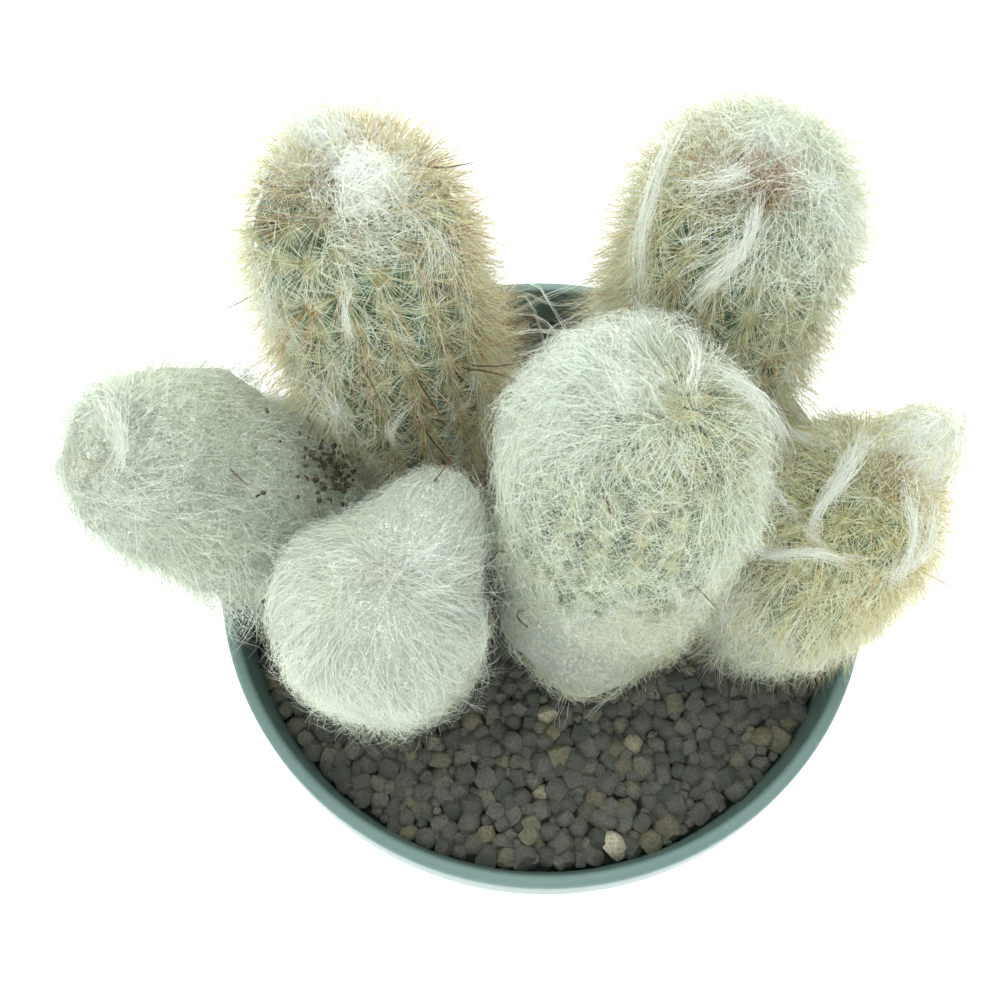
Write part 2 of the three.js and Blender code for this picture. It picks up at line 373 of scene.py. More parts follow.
class Stem:
    # q is the distance along the skin from the granules to the tip, in metres, and turn is the
    # bearing round the axis: 0 faces the front (-Y) and a quarter turn on faces +X
    def __init__(self, node):
        line, radius = measureStem(node)
        reach = np.concatenate([[0], np.cumsum(np.linalg.norm(np.diff(line, axis=0), axis=1))])
        left = reach[-1] - reach
        sure = (left > 7 * mm) | (left == 0)  # so near the tip its middle is too small to measure
        dense = reach[-1] * np.sin(np.linspace(0, math.pi / 2, 241))
        self.line = np.stack([np.interp(dense, reach[sure], line[sure, i]) for i in range(3)], axis=1)
        self.line = eased(self.line, 30)
        dome = 0.95 * radius.max()  # the tip is rounded off over this height
        shoulder = np.interp(reach[-1] - dome, reach, radius)
        climb = 1 - (reach[-1] - dense) / dome
        rise = np.clip(climb, 0, 1)
        self.radius = eased(np.interp(dense, reach, radius), 60)
        self.radius += smoothStep(-0.3, 0.2, climb) * (shoulder * np.sqrt(1 - rise ** 2) - self.radius)
        skin = np.concatenate([[0], np.cumsum(np.hypot(np.diff(dense), np.diff(self.radius)))])
        self.skin = skin - np.interp(soilTop, self.line[:, 2], skin)
        self.tangent = unit(np.gradient(self.line, dense, axis=0))
        self.front, self.right = crossFrame(self.tangent)
        self.slope = np.arctan2(np.gradient(self.radius, dense), 1.0)
        self.length = self.skin[-1]
        self.bottom = self.skin[0]
        self.widest = self.radius.max()
        self.mounds = []

    def at(self, table, q):
        if table.ndim == 1:
            return np.interp(q, self.skin, table)
        return np.stack([np.interp(q, self.skin, table[:, i]) for i in range(3)], axis=-1)

    def place(self, q, turn, lift=0.0):  # a point lift above the ribs' crests, and the way out there
        q = np.asarray(q, float)
        turn = np.asarray(turn, float)
        tangent = unit(self.at(self.tangent, q))
        radial = (self.at(self.front, q) * np.cos(turn)[..., None]
                  + self.at(self.right, q) * np.sin(turn)[..., None])
        slope = self.at(self.slope, q)[..., None]
        normal = unit(radial * np.cos(slope) - tangent * np.sin(slope))
        lift = np.asarray(lift, float)
        base = self.at(self.line, q) + radial * self.at(self.radius, q)[..., None]
        return base + normal * (lift[..., None] if lift.ndim else lift), normal

    def over(self, q, turn, lift=0.0):  # as place, but up and over the mounds of loose wool
        skin, normal = self.place(q, turn)
        lift = np.asarray(lift, float) + self.moundLift(skin)
        return skin + normal * (lift[..., None] if lift.ndim else lift), normal

    def spot(self, share, bearing):  # a place on the skin, by the share of the height and degrees
        return self.place(share * self.length, math.radians(bearing))[0]

    def moundLift(self, skin):
        lift = np.zeros(skin.shape[:-1])
        for centre, reach, height in self.mounds:
            away = np.linalg.norm(skin - centre, axis=-1) / reach
            lift = np.maximum(lift, height * (0.5 + 0.5 * np.cos(math.pi * np.clip(away, 0, 1))))
        return lift

    def nearest(self, point):  # (q, turn) of the skin nearest to a point
        q, turn = np.meshgrid(np.linspace(0, self.length, 200), np.linspace(-math.pi, math.pi, 144))
        skin, _ = self.place(q.ravel(), turn.ravel())
        best = np.linalg.norm(skin - point, axis=1).argmin()
        return q.ravel()[best], turn.ravel()[best]

    def down(self, q, turn):  # along the skin towards the granules
        ahead, _ = self.place(np.asarray(q) - 0.5 * mm, turn)
        behind, _ = self.place(np.asarray(q) + 0.5 * mm, turn)
        return unit(ahead - behind)

    def nearTip(self, start, end, q):  # eases from 0 to 1 between two distances from the tip, in mm
        return smoothStep(self.length - start * mm, self.length - end * mm, q)

    def stride(self, q, turn, heading, distance, bend=0.0):
        # one step over the skin: heading 0 runs down it, and 90 degrees to the right
        around = np.maximum(self.at(self.radius, q), 1.5 * mm)
        flatness = -np.sin(self.at(self.slope, q))
        q = q - np.cos(heading) * distance
        sweep = np.sin(heading) * distance / around
        heading = heading - sweep * flatness + bend
        over = q > self.length  # past the tip it runs down the other side
        turn = turn + sweep + np.where(over, math.pi, 0)
        heading = np.where(over, math.pi - heading, heading)
        q = np.where(over, 2 * self.length - q, q)
        return q, turn, heading


# What each stem looks like. Lengths are in millimetres; radials and centrals are counted for one
# areole. gold is how golden the spines are, goldSide the bearing in degrees where they are most
# so, and goldFrom the shares of the height that it grows between. blush is the share of areoles
# with reddish central spines. felt is the share of the height that matted wool covers. lumps are
# swellings of the wool: how many, how wide and how high; each swell is one more, at (share of the
# height, bearing, reach, height). A patch of young spines is (share, bearing, reach, count,
# length, gold), and a bare spot is (share, bearing, reach).
stemBasics = {
    "gold": 0.0, "goldSide": 180, "goldFrom": (-1, 0), "blush": 0.0, "felt": 0, "woolCover": 0.0,
    "lumps": (0, 1, 1), "swells": [], "patches": [], "bare": []}
stemLooks = {
    "back_left": {
        "ribs": 16, "areoleGap": 8.2, "radials": 42, "radialLength": 7.0, "radialRise": 24, "thick": 0.11,
        "centrals": 26, "centralLength": 13.0, "centralRise": 62, "gold": 0.16, "goldSide": 95,
        "blush": 0.22,
        "patches": [(0.945, -58, 6.5, 300, 5.5, 0.5), (0.95, 60, 9, 140, 7.0, 0.15),
                    (0.88, -60, 4, 100, 5.0, 0.4)],
        "bare": [(0.90, -84, 3.6), (0.83, -86, 3.0), (0.86, -62, 2.4)]},
    "back_right": {
        "ribs": 16, "areoleGap": 7.8, "radials": 46, "radialLength": 7.2, "radialRise": 26, "thick": 0.11,
        "centrals": 26, "centralLength": 13.5, "centralRise": 62, "gold": 0.10, "goldSide": -90,
        "blush": 0.05, "woolCover": 0.1,
        "patches": [(0.955, 2, 3.2, 360, 8.5, 0.95), (0.93, -66, 5, 160, 5.5, 0.6)]},
    "far_left": {
        "ribs": 15, "areoleGap": 7.2, "radials": 26, "radialLength": 8.5, "radialRise": 50, "thick": 0.10,
        "centrals": 2, "centralLength": 8.0, "centralRise": 65,
        "felt": 1, "woolCover": 0.9, "lumps": (36, 13, 2.6),
        "patches": [(0.935, 38, 2.8, 260, 5.0, 0.4)]},
    "front_left": {
        "ribs": 15, "areoleGap": 7.2, "radials": 10, "radialLength": 6.5, "radialRise": 40, "thick": 0.10,
        "centrals": 1, "centralLength": 5.0, "centralRise": 60,
        "felt": 1, "woolCover": 0.9, "lumps": (30, 10, 1.4),
        "patches": [(0.925, 110, 2.6, 110, 5.0, 0.5)]},
    "front_centre": {
        "ribs": 17, "areoleGap": 6.8, "radials": 32, "radialLength": 5.8, "radialRise": 30, "thick": 0.09,
        "centrals": 4, "centralLength": 8.5, "centralRise": 60, "gold": 0.10, "goldSide": 90,
        "felt": 0.58, "woolCover": 0.1, "lumps": (20, 10, 1.4),
        "swells": [(0.12, -64, 17, 5.0), (0.08, -22, 15, 5.5), (0.12, -110, 15, 4.0), (0.36, -96, 16, 3.0)]},
    "far_right": {
        "ribs": 15, "areoleGap": 7.0, "radials": 54, "radialLength": 8.6, "radialRise": 40, "thick": 0.12,
        "centrals": 14, "centralLength": 11.0, "centralRise": 62, "gold": 0.38, "goldSide": 110,
        "goldFrom": (0.2, 0.6), "felt": 0.42, "lumps": (14, 9, 1.4),
        "patches": [(0.955, -34, 4.2, 150, 7.0, 0.7), (0.85, 150, 9, 160, 7.0, 0.5)]},
}
stemLooks = {name: {**stemBasics, **look} for name, look in stemLooks.items()}

# The hair on each stem, in layers that are combed alike. A layer's roots lie between two shares
# of the stem's height, on the side given as (bearing, half width) in degrees. swirl and stray
# are degrees off straight down, or off the way out of a whorl at (share, bearing), whose middle
# can stay bald so far out. bend is how much the hairs curl, lift the height over the skin at
# root, middle and tip, gather how much a lock closes towards its end, and gaps how much it is
# thinned out, the more the nearer to 0.
layerBasics = {
    "side": (0, 180), "swirl": 0, "bend": 0.5, "steps": 4, "gaps": -9, "whorl": None, "bald": 0}
woolLayers = {
    "back_left": [
        {"locks": 330, "hairs": 6, "rows": (0.0, 0.90), "length": 10, "stray": 75,
         "lift": (1.0, 3.6, 2.8), "spread": 1.8, "gather": 0.5, "thick": 0.08, "tone": 0.15,
         "steps": 2, "bend": 1.5},
        {"locks": 60, "hairs": 9, "rows": (0.2, 0.88), "side": (0, 120), "length": 15, "swirl": 10,
         "stray": 40, "lift": (2.0, 4.4, 3.6), "spread": 0.8, "gather": 0.6, "thick": 0.08, "tone": 0.1,
         "bend": 1.2}],
    "back_right": [
        {"locks": 260, "hairs": 6, "rows": (0.0, 0.95), "length": 9, "stray": 75,
         "lift": (1.0, 3.8, 3.2), "spread": 1.8, "gather": 0.5, "thick": 0.08, "tone": 0.2,
         "steps": 2, "bend": 1.3},
        {"locks": 620, "hairs": 7, "rows": (0.0, 0.97), "side": (180, 125), "length": 9, "stray": 60,
         "lift": (2.0, 8.0, 11.5), "spread": 2.0, "gather": 0.2, "thick": 0.10, "tone": 0.3, "steps": 1},
        {"locks": 160, "hairs": 9, "rows": (0.84, 0.99), "side": (110, 130), "length": 14, "stray": 50,
         "lift": (2.0, 6.0, 5.0), "spread": 1.6, "gather": 0.4, "thick": 0.09, "tone": 0.05,
         "steps": 3, "bend": 1.0}],
    "far_left": [
        {"locks": 640, "hairs": 8, "rows": (0.0, 0.99), "length": 10, "stray": 26,
         "lift": (1.4, 3.6, 3.2), "spread": 1.8, "gather": 0.5, "thick": 0.075, "tone": 0.15,
         "steps": 2, "bend": 1.4, "whorl": (0.935, 38), "bald": 3.0, "gaps": -0.9},
        {"locks": 400, "hairs": 7, "rows": (0.05, 0.94), "side": (-90, 130), "length": 11, "stray": 60,
         "lift": (2.0, 9.0, 12.5), "spread": 1.4, "gather": 0.4, "thick": 0.08, "tone": 0.1,
         "steps": 2, "bend": 1.0, "whorl": (0.935, 38), "bald": 5.0},
        {"locks": 60, "hairs": 10, "rows": (0.86, 0.99), "side": (60, 150), "length": 12, "swirl": 40,
         "stray": 30, "lift": (2.6, 5.0, 4.0), "spread": 1.2, "gather": 0.6, "thick": 0.08, "tone": 0.0,
         "steps": 3, "bend": 1.4, "whorl": (0.935, 38), "bald": 3.6}],
    "front_left": [
        {"locks": 650, "hairs": 8, "rows": (0.0, 0.99), "length": 8, "swirl": 12, "stray": 40,
         "lift": (1.0, 2.8, 2.2), "spread": 1.6, "gather": 0.3, "thick": 0.065, "tone": 0.2,
         "steps": 2, "bend": 1.2, "whorl": (0.94, 104)},
        {"locks": 200, "hairs": 10, "rows": (0.7, 0.99), "length": 13, "swirl": 16, "stray": 12,
         "lift": (1.6, 3.6, 2.6), "spread": 1.2, "gather": 0.5, "thick": 0.07, "tone": 0.05,
         "steps": 3, "bend": 0.8, "whorl": (0.94, 104)},
        {"locks": 150, "hairs": 6, "rows": (0.0, 0.8), "length": 8, "stray": 80,
         "lift": (1.6, 4.6, 6.0), "spread": 1.2, "gather": 0.5, "thick": 0.07, "tone": 0.1,
         "steps": 2, "bend": 1.0}],
    "front_centre": [
        {"locks": 590, "hairs": 7, "rows": (0.0, 0.64), "length": 9, "swirl": 8, "stray": 60,
         "lift": (1.2, 3.6, 3.6), "spread": 1.8, "gather": 0.4, "thick": 0.075, "tone": 0.35,
         "steps": 2, "bend": 1.2},
        {"locks": 150, "hairs": 6, "rows": (0.6, 0.97), "length": 10, "stray": 70,
         "lift": (1.2, 4.0, 3.4), "spread": 1.6, "gather": 0.5, "thick": 0.07, "tone": 0.2,
         "steps": 2, "bend": 1.6, "gaps": -0.6},
        {"locks": 130, "hairs": 7, "rows": (0.48, 0.68), "length": 8, "stray": 60,
         "lift": (1.6, 4.6, 5.0), "spread": 2.2, "gather": 0.4, "thick": 0.075, "tone": 0.5,
         "steps": 2, "bend": 1.2, "gaps": -0.7},
        {"locks": 130, "hairs": 13, "rows": (0.86, 0.99), "side": (-118, 90), "length": 17,
         "swirl": -10, "stray": 20, "lift": (2.0, 6.0, 4.0), "spread": 1.8, "gather": 0.25,
         "thick": 0.065, "tone": 0.04, "whorl": (0.945, 74), "bend": 1.3, "steps": 3, "gaps": -0.8},
        {"locks": 170, "hairs": 6, "rows": (0.62, 0.9), "side": (0, 62), "length": 11, "stray": 85,
         "lift": (2.0, 5.4, 4.4), "spread": 2.4, "gather": 0.2, "thick": 0.07, "tone": 0.25,
         "steps": 2, "bend": 1.6, "gaps": -0.9},
        {"locks": 30, "hairs": 9, "rows": (0.93, 0.985), "side": (10, 60), "length": 10, "swirl": 10,
         "stray": 36, "lift": (2.0, 4.6, 3.0), "spread": 1.2, "gather": 0.6, "thick": 0.07, "tone": 0.1,
         "whorl": (0.945, 74), "bend": 1.2, "steps": 3},
        {"locks": 110, "hairs": 10, "rows": (0.58, 0.88), "side": (-105, 40), "length": 15,
         "swirl": 30, "stray": 26, "lift": (2.0, 5.0, 4.0), "spread": 1.8, "gather": 0.25,
         "thick": 0.065, "tone": 0.1, "bend": 1.2, "steps": 3, "gaps": -0.5},
        {"locks": 150, "hairs": 9, "rows": (0.6, 0.96), "side": (98, 66), "length": 14, "swirl": -6,
         "stray": 16, "lift": (2.0, 5.0, 5.0), "spread": 1.4, "gather": 0.5, "thick": 0.075,
         "tone": 0.3, "steps": 2, "whorl": (0.945, 74)}],
    "far_right": [
        {"locks": 520, "hairs": 7, "rows": (0.0, 0.5), "length": 10, "stray": 50,
         "lift": (1.2, 4.6, 4.6), "spread": 1.8, "gather": 0.5, "thick": 0.08, "tone": 0.05,
         "steps": 2, "bend": 1.0},
        {"locks": 40, "hairs": 8, "rows": (0.4, 0.95), "side": (0, 150), "length": 15, "stray": 40,
         "lift": (2.8, 5.4, 4.4), "spread": 0.8, "gather": 0.6, "thick": 0.08, "tone": 0.1},
        {"locks": 260, "hairs": 7, "rows": (0.25, 0.92), "side": (180, 70), "length": 9, "stray": 60,
         "lift": (2.0, 7.0, 9.0), "spread": 2.0, "gather": 0.2, "thick": 0.10, "tone": 0.55,
         "steps": 1}],
}

# Dull golden hair between the spines: how many, its length, share of the height that it covers,
# the side (bearing, half width) that it is on, how far it stands up, and how golden it is. All of
# it has what furBasics says.
furBasics = {**layerBasics, "thick": 0.11, "stray": 0.9, "curl": 0.3, "toneSpread": 0.15}
furLooks = {
    "back_left": {"locks": 5600, "length": 7, "rows": (0.0, 0.98), "side": (180, 122), "stand": 12,
                  "tone": 0.4},
    "back_right": {"locks": 4600, "length": 7, "rows": (0.0, 0.98), "side": (190, 120), "stand": 12,
                   "tone": 0.25},
    "far_right": {"locks": 4600, "length": 8, "rows": (0.3, 0.98), "side": (90, 180), "stand": 10,
                  "tone": 0.5},
}
stems = {name: Stem("stem_" + name) for name in stemLooks}
for name, stem in stems.items():
    print("stem %s: %.1f mm of skin above the granules, radius %.1f mm"
          % (name, stem.length / mm, stem.widest / mm))

for index, (name, look) in enumerate(stemLooks.items()):  # the wool swells here and there
    rng = np.random.default_rng(50 + index)
    stem = stems[name]
    count, wide, high = look["lumps"]
    for q in rng.uniform(0.0, 0.97, count) * stem.length:
        skin, _ = stem.place(q, rng.uniform(-math.pi, math.pi))
        stem.mounds.append((skin, wide * mm * rng.uniform(0.6, 1.2), high * mm * rng.uniform(0.4, 1.2)))
    for share, bearing, reach, high in look["swells"]:
        stem.mounds.append((stem.spot(share, bearing), reach * mm, high * mm))

# Each tuft of loose wool. comb is which way its hairs run and how far they stray from that, in
# degrees off straight down or off the way out of a whorl. stand is how far they stand up and length
# how long they are, in millimetres; ragged is how far out they start and core how far out its packed
# pad reaches, as shares of the tuft's size, and flat how high its mound is, as a share of the solid's.
tuftLooks = {
    "tuft_back_left_rear": {"stem": "back_left", "hairs": 700, "whorl": None, "comb": (200, 180),
                            "stand": 5.0, "length": 8, "ragged": 1.2, "flat": 0.9, "core": 0.5},
    "tuft_back_left_front": {"stem": "back_left", "hairs": 1200, "whorl": None, "comb": (65, 70),
                             "stand": 3.5, "length": 9, "ragged": 1.15, "flat": 0.8, "core": 0.5},
    "tuft_back_right": {"stem": "back_right", "hairs": 1000, "whorl": None, "comb": (180, 180),
                        "stand": 4.0, "length": 10, "ragged": 1.35, "flat": 0.8, "core": 0.4},
    "tuft_front_left": {"stem": "front_left", "hairs": 700, "whorl": (0.94, 104), "comb": (0, 20),
                        "stand": 1.6, "length": 12, "ragged": 1.0, "flat": 1.35, "core": 0.5},
    "tuft_front_centre": {"stem": "front_centre", "hairs": 600, "whorl": (0.945, 74), "comb": (0, 25),
                          "stand": 2.5, "length": 12, "ragged": 1.1, "flat": 0.5, "core": 0.3},
    "tuft_far_right": {"stem": "far_right", "hairs": 800, "whorl": None, "comb": (0, 180),
                       "stand": 4.0, "length": 7, "ragged": 1.15, "flat": 1.5, "core": 0.74},
}
for node, look in tuftLooks.items():  # the mound that each tuft makes over the skin, from its solid
    stem = stems[look["stem"]]
    points = coordsOf(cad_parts[node].data)
    middle = (points.min(axis=0) + points.max(axis=0)) / 2
    skin, normal = stem.place(*stem.nearest(middle))
    rise = (points - skin) @ normal
    sideways = np.linalg.norm(points - skin - rise[:, None] * normal, axis=1)
    look["mound"] = (skin, 1.45 * np.quantile(sideways, 0.95), look["flat"] * rise.max())
    stem.mounds.append(look["mound"])
    print("%s: reach %.1f mm, height %.1f mm" % (node, look["mound"][1] / mm, look["mound"][2] / mm))

# Where the areoles stand on a rib, in millimetres: the first one's height, how far from the tip
# they start to crowd, and shares of the gap between two of them.
areoleLook = {"first": 1.0, "stagger": 0.38, "stray": 0.04, "crowdFrom": 20, "crowding": 0.45,
              "apart": 0.55}


def areolesOf(stem, look, rng):  # (q, turn) of every spine cushion, from the base to the tip
    found = []
    gap = look["areoleGap"] * mm
    places = []
    for rib in range(look["ribs"]):
        q = areoleLook["first"] * mm + gap * ((rib * areoleLook["stagger"]) % 1.0)
        while q < stem.length - 1.5 * mm:
            near = stem.nearTip(areoleLook["crowdFrom"], 0, q)
            places.append((q + rng.normal(0, areoleLook["stray"]) * gap, rib))
            q += gap * (1 - areoleLook["crowding"] * near)
    kept = np.zeros((0, 3))
    for q, rib in sorted(places):
        turn = 2 * math.pi * rib / look["ribs"] + rng.normal(0, 0.02)
        point, _ = stem.place(q, turn)
        apart = gap * (areoleLook["apart"] - 0.2 * stem.nearTip(22, 4, q))
        if len(kept) == 0 or np.linalg.norm(kept - point, axis=1).min() > apart:
            kept = np.vstack([kept, point])
            found.append((q, turn))
    return np.array(found)


def clearOf(stem, q, turn, bare):  # which places are outside the bare spots (share, bearing, reach)
    skin, _ = stem.place(q, turn)
    clear = np.ones(len(q), bool)
    for share, bearing, reach in bare:
        clear &= np.linalg.norm(skin - stem.spot(share, bearing), axis=1) > reach * mm
    return clear


def roundBody(name, segments, rings, start, stem):  # a ball whose poles are pulled to foot and tip
    piece, ball = addBall(name, segments, rings)
    height = 1 - np.arccos(np.clip(ball[:, 2], -1, 1)) / math.pi
    return piece, start + (stem.length - start) * height, np.arctan2(ball[:, 1], ball[:, 0]), height


# The ribbed skin, in millimetres: how far it lies under the crests' solid, the swelling of its
# cushions and their reach, and the depth of the furrows. facets are those of one rib.
skinLook = {"under": 0.9, "cushion": 0.9, "cushionReach": 2.6, "furrow": 2.2,
            "facets": {"bare": 6, "felted": 4}}


def fleshOf(name, stem, look, areoles):
    fine = skinLook["facets"]["bare" if look["felt"] == 0 else "felted"]
    piece, q, turn, _ = roundBody("skin_" + name, look["ribs"] * fine, fine * 9, stem.bottom, stem)
    surface, normal = stem.place(q, turn)
    furrow = 0.5 - 0.5 * np.cos(turn * look["ribs"])  # 0 on a crest and 1 in a furrow
    fade = stem.nearTip(0, 9, q) * smoothStep(-4 * mm, 2 * mm, q)
    centres, _ = stem.place(areoles[:, 0], areoles[:, 1])
    swell = np.zeros(len(q))
    batch = 400
    for i in range(0, len(q), batch):
        away = np.linalg.norm(surface[i:i + batch, None] - centres[None], axis=2)
        swell[i:i + batch] = np.exp(-(away.min(axis=1) / (skinLook["cushionReach"] * mm)) ** 2)
    lift = (skinLook["cushion"] * swell - skinLook["under"] - skinLook["furrow"] * furrow) * mm * fade
    moveTo(piece.data, surface + normal * lift[:, None])
    note(piece.data, "wool", look["woolCover"] * (0.6 + 0.4 * swell))
    note(piece.data, "cushion", swell ** 2)
    return piece


def lumpsAt(points, rng, coarse, fine, count=14):  # smooth random swelling, about -1 to 1
    lumps = np.zeros(points.shape[:-1])
    for _ in range(count):
        wave = unit(rng.normal(size=3)) * 2 * math.pi / rng.uniform(fine, coarse)
        lumps += np.sin(points @ wave + rng.uniform(0, 2 * math.pi))
    return lumps / math.sqrt(count)


# The matted wool on the skin, in millimetres: where it starts below the granules, how thick and
# how lumpy it is, and how far it sinks where it ends.
feltLook = {"segments": 72, "rings": 40, "start": -1.5, "thick": 1.2, "lumps": 0.3, "sink": 4.0}


def feltOf(name, stem, look, seed):
    rng = np.random.default_rng(seed)
    start = feltLook["start"] * mm
    piece, q, turn, height = roundBody("felt_" + name, feltLook["segments"], feltLook["rings"], start, stem)
    surface, _ = stem.place(q, turn)
    lumps = lumpsAt(surface, rng, 9 * mm, 3 * mm)
    thin = smoothStep(look["felt"] - 0.16, look["felt"] + 0.14, q / stem.length + 0.05 * lumps)
    thin = thin * (look["felt"] < 1)
    thick = feltLook["thick"] + feltLook["lumps"] * lumps - feltLook["sink"] * thin
    surface, _ = stem.over(q, turn, thick * mm)
    centre = stem.at(stem.line, q)
    closing = np.sqrt(np.clip(height / 0.02, 0, 1))  # its foot closes to a point inside the stem
    moveTo(piece.data, centre + (surface - centre) * closing[:, None])
    note(piece.data, "bare", thin)
    return piece


# How each kind of spine stands off the skin: the spread of its rise in degrees, how much steeper
# it gets at the tip, how far it droops, and how much it leans down the stem.
spineKinds = {
    "radial": {"spread": 9, "tipRise": 22, "droop": (0.0, 0.25), "hang": 0.05},
    "central": {"spread": 14, "tipRise": 10, "droop": (-0.05, 0.12), "hang": 0.3},
}


def spinesOf(stem, look, areoles, rng):
    # radial spines spread over the skin round each areole, and central ones stand out of it
    made = {}
    for kind, shape in spineKinds.items():
        count = look[kind + "s"]
        q = np.repeat(areoles[:, 0], count)
        turn = np.repeat(areoles[:, 1], count)
        n = len(q)
        root, normal = stem.place(q, turn, -0.3 * mm)
        down = stem.down(q, turn)
        right = np.cross(down, normal)
        fan = np.tile(np.arange(count), len(areoles)) / count
        bearing = 2 * math.pi * fan + rng.normal(0, 0.14, n) + np.repeat(
            rng.uniform(0, 2 * math.pi, len(areoles)), count)
        nearTip = stem.nearTip(14, 2, q)
        rise = np.radians(rng.normal(look[kind + "Rise"], shape["spread"], n) + shape["tipRise"] * nearTip)
        droop = rng.uniform(*shape["droop"], n)
        length = look[kind + "Length"] * mm * rng.uniform(0.65, 1.15, n) * (1 + 0.14 * np.cos(bearing))
        length *= 1 - 0.35 * nearTip
        flat = down * np.cos(bearing)[:, None] + right * np.sin(bearing)[:, None]
        heading = flat * np.cos(rise)[:, None] + normal * np.sin(rise)[:, None]
        heading = unit(heading + down * shape["hang"])
        root = root + flat * rng.uniform(0.3, 1.3, n)[:, None] * mm
        t = np.linspace(0, 1, 2)
        path = (root[:, None, :] + heading[:, None, :] * (length[:, None] * t)[..., None]
                - normal[:, None, :] * (length * droop)[:, None, None] * (t ** 2)[None, :, None])
        thick = look["thick"] * mm * rng.uniform(0.8, 1.25, n)
        side = np.cos(turn - math.radians(look["goldSide"]))
        tone = look["gold"] + 0.24 * side + rng.normal(0, 0.14, n)
        tone *= smoothStep(*look["goldFrom"], q / stem.length)
        if kind == "radial":
            tone = tone - 0.12
        else:
            tone += 0.5 * np.repeat(rng.uniform(size=len(areoles)) < look["blush"], count)
        made[kind] = [(path, thick, np.clip(tone, 0, 1))]
    return made["radial"], made["central"]


def shifted(stem, q0, turn0, heading, distance):  # the spots that lie so far from one spot on the skin
    q = np.full(len(heading), q0)
    turn = np.full(len(heading), turn0)
    for _ in range(4):
        q, turn, heading = stem.stride(q, turn, heading, distance / 4)
    return q, turn


# Young spines: their thickness in millimetres, how far they lean apart and how much gold varies.
youngSpines = {"thick": 0.17, "lean": 0.35, "goldSpread": 0.15}


def patchOf(stem, patch, rng):  # young spines that crowd together
    share, bearing, reach, n, length, gold = patch
    heading = rng.uniform(0, 2 * math.pi, n)
    q, turn = shifted(stem, share * stem.length, math.radians(bearing), heading,
                      reach * mm * np.sqrt(rng.uniform(0.01, 1, n)))
    root, normal = stem.place(q, turn, -0.5 * mm)
    heading = unit(normal + rng.normal(0, youngSpines["lean"], (n, 3)))
    lengths = length * mm * rng.uniform(0.6, 1.3, n)
    path = root[:, None, :] + heading[:, None, :] * (lengths[:, None] * np.linspace(0, 1, 2))[..., None]
    tone = np.clip(rng.normal(gold, youngSpines["goldSpread"], n), 0, 1)
    return path, youngSpines["thick"] * mm * rng.uniform(0.7, 1.1, n), tone


def whorlHeading(stem, whorl, q, turn):  # the way out of a whorl, easing to straight down below it
    skin, normal = stem.place(q, turn)
    down = stem.down(q, turn)
    right = np.cross(normal, down)
    away = skin - stem.spot(*whorl)
    distance = np.linalg.norm(away, axis=1, keepdims=True)
    out = away / np.maximum(distance, 0.1 * mm) + down * smoothStep(0.6, 1.8, distance / stem.widest)
    return np.arctan2((out * right).sum(axis=1), (out * down).sum(axis=1))


def comb(stem, q, turn, heading, length, lifts, bend, steps, whorl=None):  # lines that follow the skin
    points = []
    offset = heading
    for k in range(steps + 1):
        t = k / steps
        lift = 2 * t
        low = min(int(lift), 1)
        height = lifts[low] + (lifts[low + 1] - lifts[low]) * (lift - low)
        points.append(stem.over(q, turn, height)[0])
        if whorl is not None:
            heading = whorlHeading(stem, whorl, q, turn) + offset + bend * t
        q, turn, heading = stem.stride(q, turn, heading, length / steps, bend / steps)
        q = np.maximum(q, -1.0 * mm)
    return np.stack(points, axis=1)


def rootsOf(stem, layer, rng):  # where a layer's locks start, evenly over its part of the skin
    low, high = [share * stem.length for share in layer["rows"]]
    q = rng.uniform(low, high, layer["locks"] * 6)
    weight = np.maximum(stem.at(stem.radius, q), 3 * mm) / stem.widest
    q = q[rng.uniform(size=len(q)) < weight][:layer["locks"]]
    middle, half = [math.radians(angle) for angle in layer["side"]]
    turn = middle + rng.uniform(-half, half, len(q))
    if layer["bald"]:
        clear = clearOf(stem, q, turn, [(*layer["whorl"], layer["bald"])])
        q, turn = q[clear], turn[clear]
    return q, turn


